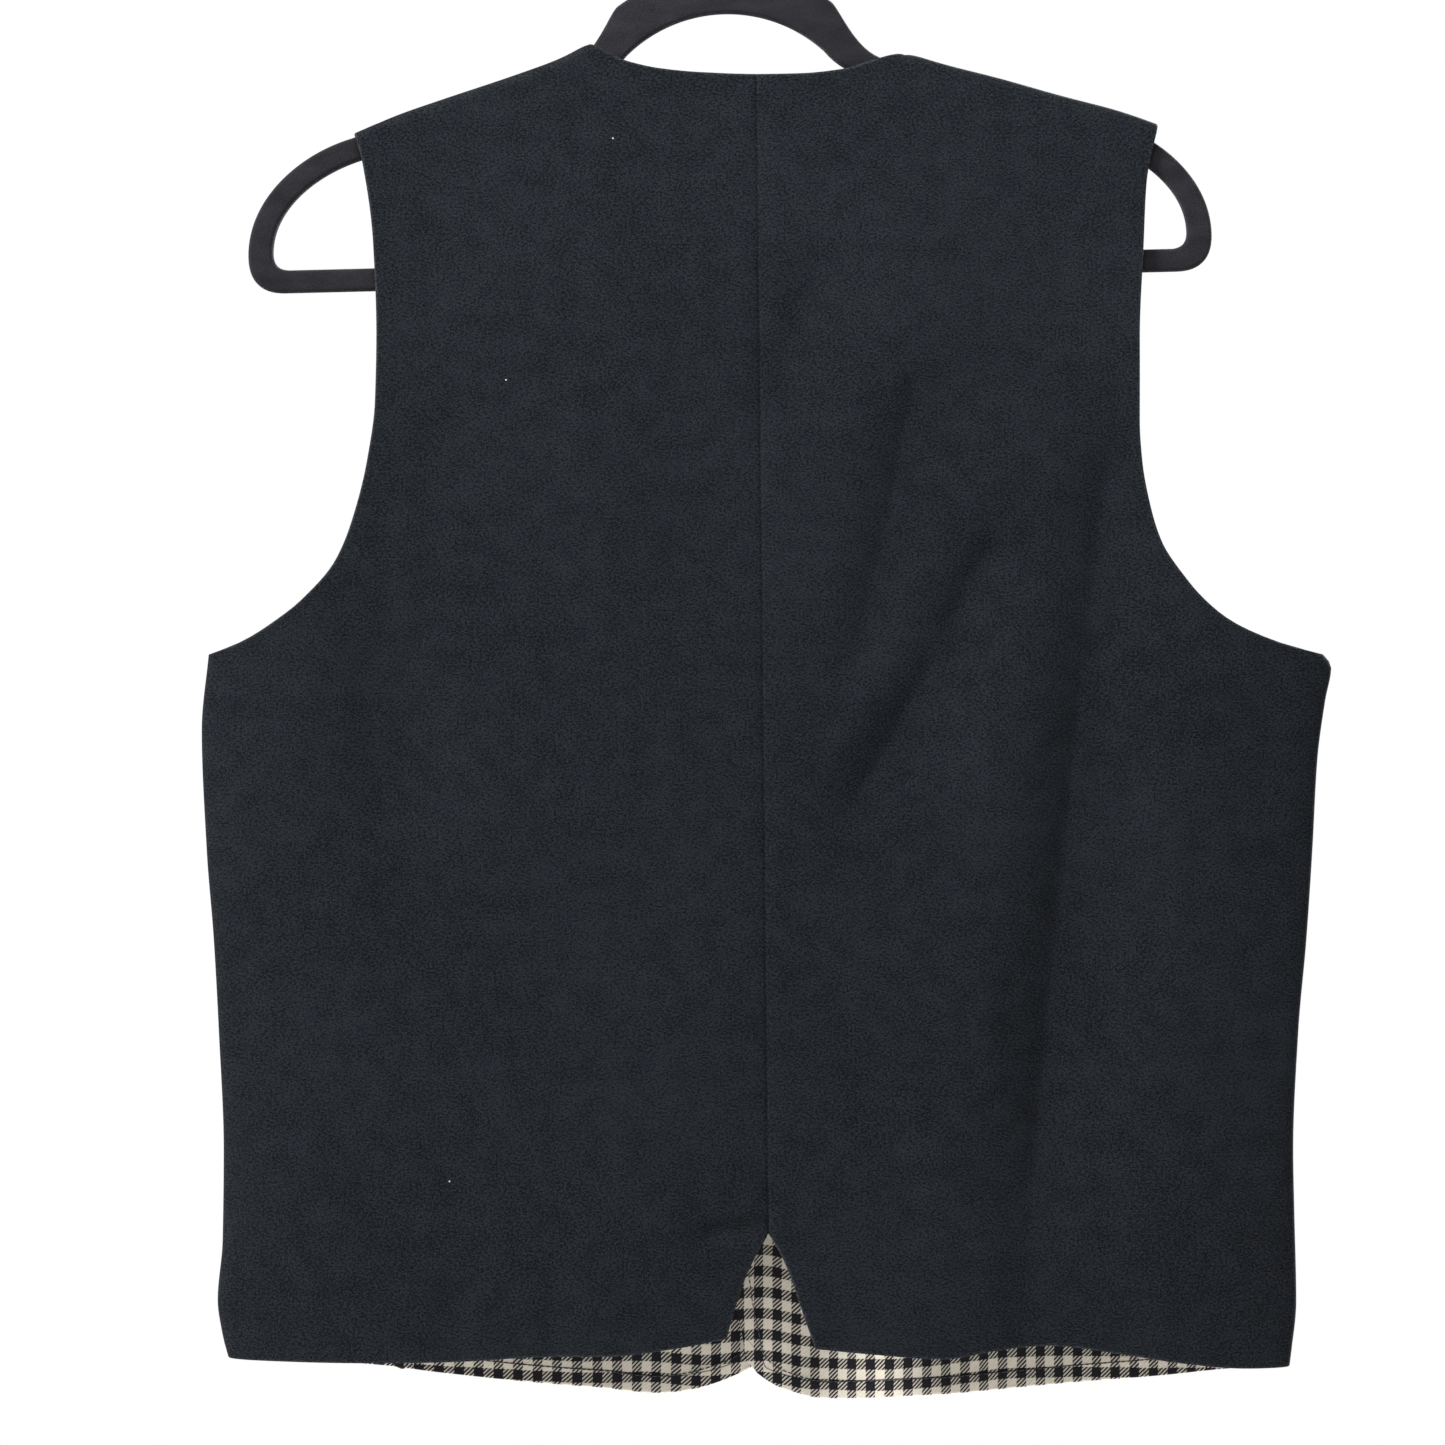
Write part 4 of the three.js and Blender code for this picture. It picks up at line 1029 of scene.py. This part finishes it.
def stitches(line, surface, outward, length, above):
    """A row of stitches: short threads that dip at both ends, laid every length along a line on the cloth."""
    run = lengths_along(line)
    starts = np.arange(length, run[-1] - length, length)
    share = np.linspace(0, 1, 5)
    at = starts[:, None] + share * length * STITCH_COVER
    x, z = np.interp(at, run, line[:, 0]), np.interp(at, run, line[:, 1])
    dip = STITCH_DIP * (2 * share - 1) ** 4
    y = surface(x, z) + outward * (above - dip)
    radii = STITCH_RADIUS * np.array([0.7, 1, 1.06, 1, 0.7])
    return tubes(np.stack([x, y, z], axis=2), radii, (0, outward, 0), 6)


def buttonhole(z):
    """A worked buttonhole: a flat loop of thread round a slit, thick and thin in turn with its stitches."""
    turn = np.linspace(0, 2 * math.pi, 161)[:-1] + 0.01
    cos, sin = np.cos(turn), np.sin(turn)
    x = FRONT_CENTRE + SLIT_MIDDLE + SLIT_HALF * np.sign(cos) * np.abs(cos) ** 0.8
    up = SLIT_HALF_HEIGHT * np.sign(sin) * np.abs(sin) ** 0.35
    y = front_y(-1, x, z + up) + half_cloth() + SLIT_ABOVE
    radii = SLIT_THREAD + SLIT_THREAD_SWING * np.sin(np.arange(160) * 1.9)
    return tubes(np.stack([x, y, z + up], 1)[None], radii[None], (0, 1, 0), 8, closed=True)


def button_body(z):
    """A round button: its height is a profile of the radius, sunk in four holes about the middle."""
    radius = bpy.context.scene.waistcoat_sizes.button_radius * 1000
    rim = np.array([
        (0.0, 0.0), (radius - 1.2, 0), (radius - 0.3, 0.35), (radius, 1.1), (radius - 0.2, 2.2),
        (radius - 0.8, 2.85), (radius - 1.5, BUTTON_HEIGHT), (radius - 2.2, 2.7), (radius - 3.0, 2.32),
        (0.0, BUTTON_FACE),
    ])
    run = lengths_along(rim)
    below, side = np.linspace(0.02, run[1], 6), np.linspace(run[1], run[-2], 26)[1:]
    at = np.concatenate([below, side, np.linspace(run[-2], run[-1] - 0.02, 26)[1:]])
    r = np.interp(at, run, rim[:, 0])[:, None]
    height = np.interp(at, run, rim[:, 1])[:, None]
    turn = np.linspace(0, 2 * math.pi, 73)[:-1][None, :]
    across, up = r * np.cos(turn), r * np.sin(turn)
    from_hole = np.hypot(np.abs(across) - BUTTON_HOLE_AT, np.abs(up) - BUTTON_HOLE_AT)
    face = (at > run[-3])[:, None]
    sunk = BUTTON_HOLE_DEPTH * ease((BUTTON_HOLE + 0.2 - from_hole) / 0.4) * face
    y = front_y(-1, FRONT_CENTRE, z) + half_cloth() + GAP + height - sunk
    points = np.stack([FRONT_CENTRE + across, y + 0 * across, z + up], axis=2)
    rings, sides = points.shape[:2]
    corner = np.arange(1, sides - 1)
    fan = np.stack([0 * corner, corner + 1, corner], axis=1)
    tris = np.concatenate([fan, fan[:, ::-1] + (rings - 1) * sides])
    return points.reshape(-1, 3), grid_quads(rings, sides, close_columns=True)[:, ::-1], tris


def button_thread(z):
    """The button's thread: two crossing bars of three strands, each down into its two holes."""
    share = np.linspace(-1, 1, 13)
    reach = BUTTON_HOLE_AT + 0.1
    base = front_y(-1, FRONT_CENTRE, z) + half_cloth() + GAP + BUTTON_FACE
    paths = []
    for lean in (-1, 1):
        for strand in (-0.32, 0, 0.32):
            x = FRONT_CENTRE + share * reach + strand * 0.7
            up = z + lean * (share * reach - strand * 0.7)
            lift = 0.42 + 0.08 * lean - BUTTON_HOLE_DEPTH * ease((np.abs(share) - 0.72) / 0.28)
            paths.append(np.stack([x, base + lift, up], axis=1))
    return tubes(np.array(paths), 0.22, (0, 1, 0), 7)


def bezier(points, count):
    """Points of a line or Bezier curve, as the weighted sums of its corners, without its last one."""
    t = np.linspace(0, 1, count + 1)[:-1, None]
    order = len(points) - 1
    weights = [math.comb(order, i) * (1 - t) ** (order - i) * t ** i for i in range(order + 1)]
    return sum(weight * np.array(point, float) for weight, point in zip(weights, points))


def hump(radius, end, count):
    """The hump's arc from its top to the angle where the shoulder starts, without its last point."""
    turn = np.radians(np.linspace(90, end, count + 1)[:-1])
    return np.stack([radius * np.cos(turn), HUMP_Z + radius * np.sin(turn)], axis=1)


def hanger_outline(radius, end, stretches):
    """The right half of one of the hanger's two outlines, from the hump's top to the bar's middle."""
    turn = math.radians(end)
    corner = (radius * math.cos(turn), HUMP_Z + radius * math.sin(turn))
    parts = [hump(radius, end, HUMP_STEPS)]
    for stretch, count in zip(stretches, STRETCH_STEPS):
        parts.append(bezier([corner, *stretch], count))
        corner = stretch[-1]
    return np.concatenate([*parts, [corner]])


def tilted(points):
    """Points of the hanger's own upright frame, turned about the hook's top by its tilt."""
    cos, sin = math.cos(HANGER_TILT), math.sin(HANGER_TILT)
    x, y, z = points[..., 0], points[..., 1], points[..., 2]
    return np.stack([x * cos + z * sin, y, z * cos - x * sin], axis=-1)


def hanger_body():
    """The hanger: a rounded oblong section carried round the frame, as wide as the two outlines are apart."""
    outer = hanger_outline(HUMP_OUTER, HUMP_OUTER_END, STRETCHES_OUTER)
    inner = hanger_outline(HUMP_INNER, HUMP_INNER_END, STRETCHES_INNER)
    mirror = np.array([-1, 1])
    outer = np.concatenate([outer, outer[-2:0:-1] * mirror])
    inner = np.concatenate([inner, inner[-2:0:-1] * mirror])
    half = bpy.context.scene.waistcoat_sizes.hanger_thickness * 500
    turn = np.radians(np.arange(0, 90.1, 18))
    corner_in, corner_out = 1 - np.cos(turn), np.sin(turn)
    width = np.linalg.norm(outer - inner, axis=1)[:, None] / 2
    way = (outer - inner) / (2 * width)
    edge = width - HANGER_ROUND * corner_in
    lift = half - HANGER_ROUND + HANGER_ROUND * corner_out
    quarter = [(edge, lift), (-edge[:, ::-1], lift[::-1]), (-edge, -lift), (edge[:, ::-1], -lift[::-1])]
    across = np.concatenate([q[0] for q in quarter], axis=1)
    out = np.concatenate([np.broadcast_to(q[1], q[0].shape) for q in quarter], axis=1)
    middle = (outer + inner) / 2
    plane = middle[:, None] + way[:, None] * across[..., None]
    points = np.stack([plane[..., 0] + HANGER_OFFSET, out, plane[..., 1]], axis=2)
    rings, sides = points.shape[:2]
    quads = grid_quads(rings, sides, close_rows=True, close_columns=True)
    return tilted(points).reshape(-1, 3), quads, np.zeros((0, 3), int)


def hook_body():
    """The hook: a round wire carried along its route to a rounded tip, and a turned foot on the hump."""
    wire = bpy.context.scene.waistcoat_sizes.wire_radius * 1000
    loop = HOOK_INNER + wire
    turn = np.radians(np.linspace(*HOOK_LOOP_ENDS, 13))
    stem = [(HANGER_OFFSET, z) for z in (HOOK_FOOT_Z + 1.5, *HOOK_STEM_Z)]
    rest = np.stack([loop * np.cos(turn), HOOK_LOOP_Z + loop * np.sin(turn)], axis=1)
    knots = np.concatenate([stem, HOOK_NECK, rest])
    run = lengths_along(knots)
    slopes = np.gradient(knots, run, axis=0)
    slopes[:2] = (0, 1)
    at = np.linspace(0, run[-1], 220)
    i = np.clip(np.searchsorted(run, at) - 1, 0, len(run) - 2)
    span = (run[i + 1] - run[i])[:, None]
    t = (at[:, None] - run[i][:, None]) / span
    route = (1 + 2 * t) * (1 - t) ** 2 * knots[i] + t * t * (3 - 2 * t) * knots[i + 1]
    route += t * (1 - t) ** 2 * span * slopes[i] + t * t * (t - 1) * span * slopes[i + 1]
    radii = wire * np.sqrt(np.clip(1 - (1 - (run[-1] - at) / wire).clip(0, 1) ** 2, 0.01, 1))
    path = np.stack([route[:, 0], 0 * at, route[:, 1]], axis=1)
    radius, height = np.array(HOOK_FOOT).T
    foot = np.stack([0 * height + HANGER_OFFSET, 0 * height, HOOK_FOOT_Z + height], axis=1)
    post = tubes(foot[None], radius[None], (0, 1, 0), 32)
    points, quads, tris = joined(tubes(path[None], radii[None], (0, 1, 0), 20), post)
    return tilted(points), quads, tris


class WaistcoatSizes(bpy.types.PropertyGroup):
    cloth: bpy.props.FloatProperty(
        name="Cloth", description="Thickness of the outer cloth", default=0.0014, unit="LENGTH")
    fold_depth: bpy.props.FloatProperty(
        name="Folds", description="Depth of the back's main folds against the frame's",
        default=1.3, min=0, max=1.5)
    check_width: bpy.props.FloatProperty(
        name="Check width", description="Repeat of the lining's check across",
        default=0.0091, unit="LENGTH")
    check_height: bpy.props.FloatProperty(
        name="Check height", description="Repeat of the lining's check upwards",
        default=0.0099, unit="LENGTH")
    twill_pitch: bpy.props.FloatProperty(
        name="Twill", description="Pitch of the lining's diagonals across", default=0.0020, unit="LENGTH")
    dark_cover: bpy.props.FloatProperty(
        name="Dark cover", description="How far dark yarn hides the pale one in a grey square",
        default=0.31, min=0, max=1)
    stitch: bpy.props.FloatProperty(
        name="Stitch", description="Length of one stitch with its gap", default=0.0028, unit="LENGTH")
    stitch_inset: bpy.props.FloatProperty(
        name="Stitch inset", description="Distance of the topstitching from the edge",
        default=0.008, unit="LENGTH")
    button_radius: bpy.props.FloatProperty(
        name="Button", description="Radius of a button", default=0.0075, unit="LENGTH")
    hanger_thickness: bpy.props.FloatProperty(
        name="Hanger", description="Thickness of the hanger", default=0.0055, unit="LENGTH")
    wire_radius: bpy.props.FloatProperty(
        name="Wire", description="Radius of the hook's wire", default=0.00175, unit="LENGTH")


def colour_property(name, description, default):
    """A colour that a user may change."""
    return bpy.props.FloatVectorProperty(
        name=name, description=description, default=default, subtype="COLOR", size=3, min=0, max=1)


class WaistcoatColours(bpy.types.PropertyGroup):
    navy: colour_property("Navy", "Mean colour of the outer cloth", (0.0061, 0.0073, 0.0090))
    nap: colour_property("Nap", "Nap on worn edges", (0.045, 0.05, 0.058))
    lint: colour_property("Lint", "Specks of lint", (0.33, 0.34, 0.33))
    cream: colour_property("Cream", "Pale yarn of the lining", (0.59, 0.545, 0.47))
    check: colour_property("Check", "Dark yarn of the lining", (0.0050, 0.0047, 0.0074))
    thread: colour_property("Thread", "Sewing thread", (0.012, 0.013, 0.018))
    button: colour_property("Button", "Buttons", (0.012, 0.011, 0.011))
    flock: colour_property("Flock", "The hanger's flock", (0.0095, 0.0095, 0.0115))
    steel: colour_property("Steel", "The hook's wire", (0.68, 0.68, 0.69))
    floor: colour_property("Floor", "Pale floor", (0.86, 0.855, 0.84))


class WAISTCOAT_OT_back(bpy.types.Operator):
    """Make the two halves of the back, which hang over the hanger with the photographed folds"""
    bl_idname = "waistcoat.back"
    bl_label = "Back"

    def execute(self, context):
        thickness = context.scene.waistcoat_sizes.cloth * 1000
        for name, side in (("back_left", -1), ("back_right", 1)):
            piece = make_cloth(name, back_panel(side), thickness, navy_cloth(), "navy_cloth")
            piece.name = f"cloth_{name}"
        return {"FINISHED"}


class WAISTCOAT_OT_fronts(bpy.types.Operator):
    """Make the two fronts with their checked linings"""
    bl_idname = "waistcoat.fronts"
    bl_label = "Fronts and linings"

    def execute(self, context):
        thickness = context.scene.waistcoat_sizes.cloth * 1000
        for name, side in (("front_left", -1), ("front_right", 1)):
            front = front_panel(side)
            piece = make_cloth(name, front, thickness, navy_cloth(), "navy_cloth")
            piece.name = f"cloth_{name}"
            lining = lining_panel(front)
            check = check_map(lining)
            piece = make_cloth(f"lining_{name}", lining, LINING, checked_lining(), "checked_lining", check)
            piece.name = f"cloth_lining_{name}"
        return {"FINISHED"}


class WAISTCOAT_OT_stitching(bpy.types.Operator):
    """Sew along the fronts' edges and work the buttonholes"""
    bl_idname = "waistcoat.stitching"
    bl_label = "Stitching"

    def execute(self, context):
        sizes = context.scene.waistcoat_sizes
        cloth, length = sizes.cloth * 1000, sizes.stitch * 1000
        for name, side in (("left", -1), ("right", 1)):
            line = edge_path(side, stitch_inset())
            surface = lambda x, z: front_y(side, x, z) - STITCH_SUNK * calm(x, z)
            outer = stitches(line, surface, 1, length, cloth / 2 + STITCH_ABOVE)
            inside = cloth / 2 + GAP + LINING + STITCH_ABOVE
            inner = stitches(line, surface, -1, length, inside)
            make_piece(f"topstitching_{name}", *joined(outer, inner), thread(), "navy_cloth")
        holes = [buttonhole(BUTTON_FIRST_Z - i * BUTTON_STEP) for i in range(BUTTON_COUNT)]
        make_piece("buttonholes", *joined(*holes), thread(), "navy_cloth")
        return {"FINISHED"}


class WAISTCOAT_OT_buttons(bpy.types.Operator):
    """Make the buttons, each with four holes and crossed thread"""
    bl_idname = "waistcoat.buttons"
    bl_label = "Buttons"

    def execute(self, context):
        horn = dark_button()
        for i in range(BUTTON_COUNT):
            z = BUTTON_FIRST_Z - i * BUTTON_STEP
            make_piece(f"horn_button_{i + 1}", *button_body(z), horn, "dark_button", (f"button_{i + 1}",))
            make_piece(f"button_thread_{i + 1}", *button_thread(z), thread(), "navy_cloth")
        return {"FINISHED"}


class WAISTCOAT_OT_hanger(bpy.types.Operator):
    """Make the flocked hanger and its wire hook"""
    bl_idname = "waistcoat.hanger"
    bl_label = "Hanger and hook"

    def execute(self, context):
        make_piece("flocked_hanger", *hanger_body(), black_flock(), "black_flock", ("hanger",))
        make_piece("wire_hook", *hook_body(), bright_steel(), "bright_steel", ("hook",))
        return {"FINISHED"}


class WAISTCOAT_OT_stage(bpy.types.Operator):
    """Set the pale floor, the soft lights and the camera"""
    bl_idname = "waistcoat.stage"
    bl_label = "Floor, lights and camera"

    def execute(self, context):
        scene = context.scene
        lay_floor(scene)
        set_background(scene)
        scene.view_settings.view_transform = "Standard"
        for light in LIGHTS:
            add_light(*light)
        camera = bpy.data.cameras.new("camera")
        camera.sensor_width, camera.lens = 36, CAMERA_LENS
        stand = bpy.data.objects.new("camera", camera)
        stand.location = CAMERA_AT
        stand.rotation_euler = (math.radians(90), 0, 0)
        scene.collection.objects.link(stand)
        scene.camera = stand
        return {"FINISHED"}


def lay_floor(scene):
    """A round pale floor under the vest, in rings of points about its middle."""
    floor = Finish("pale floor", scene.waistcoat_colours.floor, 0.9)
    here = floor.place("Object")
    grain = floor.noise(here, 6, 3)
    floor.into("Roughness", floor.step(grain, 0.3, 0.7, 0.8, 0.95))
    rings, sides = 12, 96
    turn = np.linspace(0, 2 * math.pi, sides + 1)[:-1]
    radii = np.linspace(0.01, FLOOR_RADIUS, rings)[:, None]
    points = np.stack([radii * np.cos(turn), radii * np.sin(turn), 0 * radii * turn + FLOOR_Z], axis=2)
    mesh = bpy.data.meshes.new("floor")
    quads = grid_quads(rings, sides, close_columns=True)
    mesh.from_pydata(points.reshape(-1, 3).tolist(), [], quads.tolist())
    mesh.materials.append(floor.material)
    mesh.update()
    ground = bpy.data.objects.new("floor", mesh)
    scene.collection.objects.link(ground)


def set_background(scene):
    """Weak bluish light from all round, and plain white where the camera sees past the vest."""
    world = bpy.data.worlds.new("soft white")
    world.use_nodes = True
    nodes, links = world.node_tree.nodes, world.node_tree.links
    sky, paper = nodes["Background"], nodes.new("ShaderNodeBackground")
    sky.inputs["Color"].default_value = (0.95, 0.97, 1.0, 1)
    sky.inputs["Strength"].default_value = 0.2
    paper.inputs["Color"].default_value = (1, 1, 1, 1)
    paper.inputs["Strength"].default_value = 1.0
    seen, both = nodes.new("ShaderNodeLightPath"), nodes.new("ShaderNodeMixShader")
    for source, target in ((seen.outputs["Is Camera Ray"], 0), (sky.outputs[0], 1), (paper.outputs[0], 2)):
        links.new(source, both.inputs[target])
    links.new(both.outputs[0], nodes["World Output"].inputs[0])
    scene.world = world


def add_light(name, place, target, size, power, colour):
    """A soft square light that faces its target."""
    data = bpy.data.lights.new(name, "AREA")
    data.size, data.energy, data.color = size, power, colour
    light = bpy.data.objects.new(name, data)
    light.location = place
    light.rotation_euler = (Vector(target) - Vector(place)).to_track_quat("-Z", "Y").to_euler()
    bpy.context.scene.collection.objects.link(light)


class WAISTCOAT_PT_panel(bpy.types.Panel):
    """Lists the waistcoat's pieces, sizes and colours"""
    bl_idname = "WAISTCOAT_PT_panel"
    bl_label = "Waistcoat"
    bl_space_type = "VIEW_3D"
    bl_region_type = "UI"
    bl_category = "Waistcoat"

    def draw(self, context):
        for operator in OPERATORS:
            self.layout.operator(operator.bl_idname)
        for group in (context.scene.waistcoat_sizes, context.scene.waistcoat_colours):
            for key in group.__annotations__:
                self.layout.prop(group, key)


OPERATORS = (
    WAISTCOAT_OT_back, WAISTCOAT_OT_fronts, WAISTCOAT_OT_stitching, WAISTCOAT_OT_buttons,
    WAISTCOAT_OT_hanger, WAISTCOAT_OT_stage,
)
CLASSES = (WaistcoatSizes, WaistcoatColours, *OPERATORS, WAISTCOAT_PT_panel)


def register():
    for each in CLASSES:
        bpy.utils.register_class(each)
    bpy.types.Scene.waistcoat_sizes = bpy.props.PointerProperty(type=WaistcoatSizes)
    bpy.types.Scene.waistcoat_colours = bpy.props.PointerProperty(type=WaistcoatColours)


def unregister():
    del bpy.types.Scene.waistcoat_colours
    del bpy.types.Scene.waistcoat_sizes
    for each in reversed(CLASSES):
        bpy.utils.unregister_class(each)


def main():
    """Makes every piece and the stage in order."""
    register()
    bpy.ops.waistcoat.back()
    bpy.ops.waistcoat.fronts()
    bpy.ops.waistcoat.stitching()
    bpy.ops.waistcoat.buttons()
    bpy.ops.waistcoat.hanger()
    bpy.ops.waistcoat.stage()


if __name__ == "__main__":
    main()
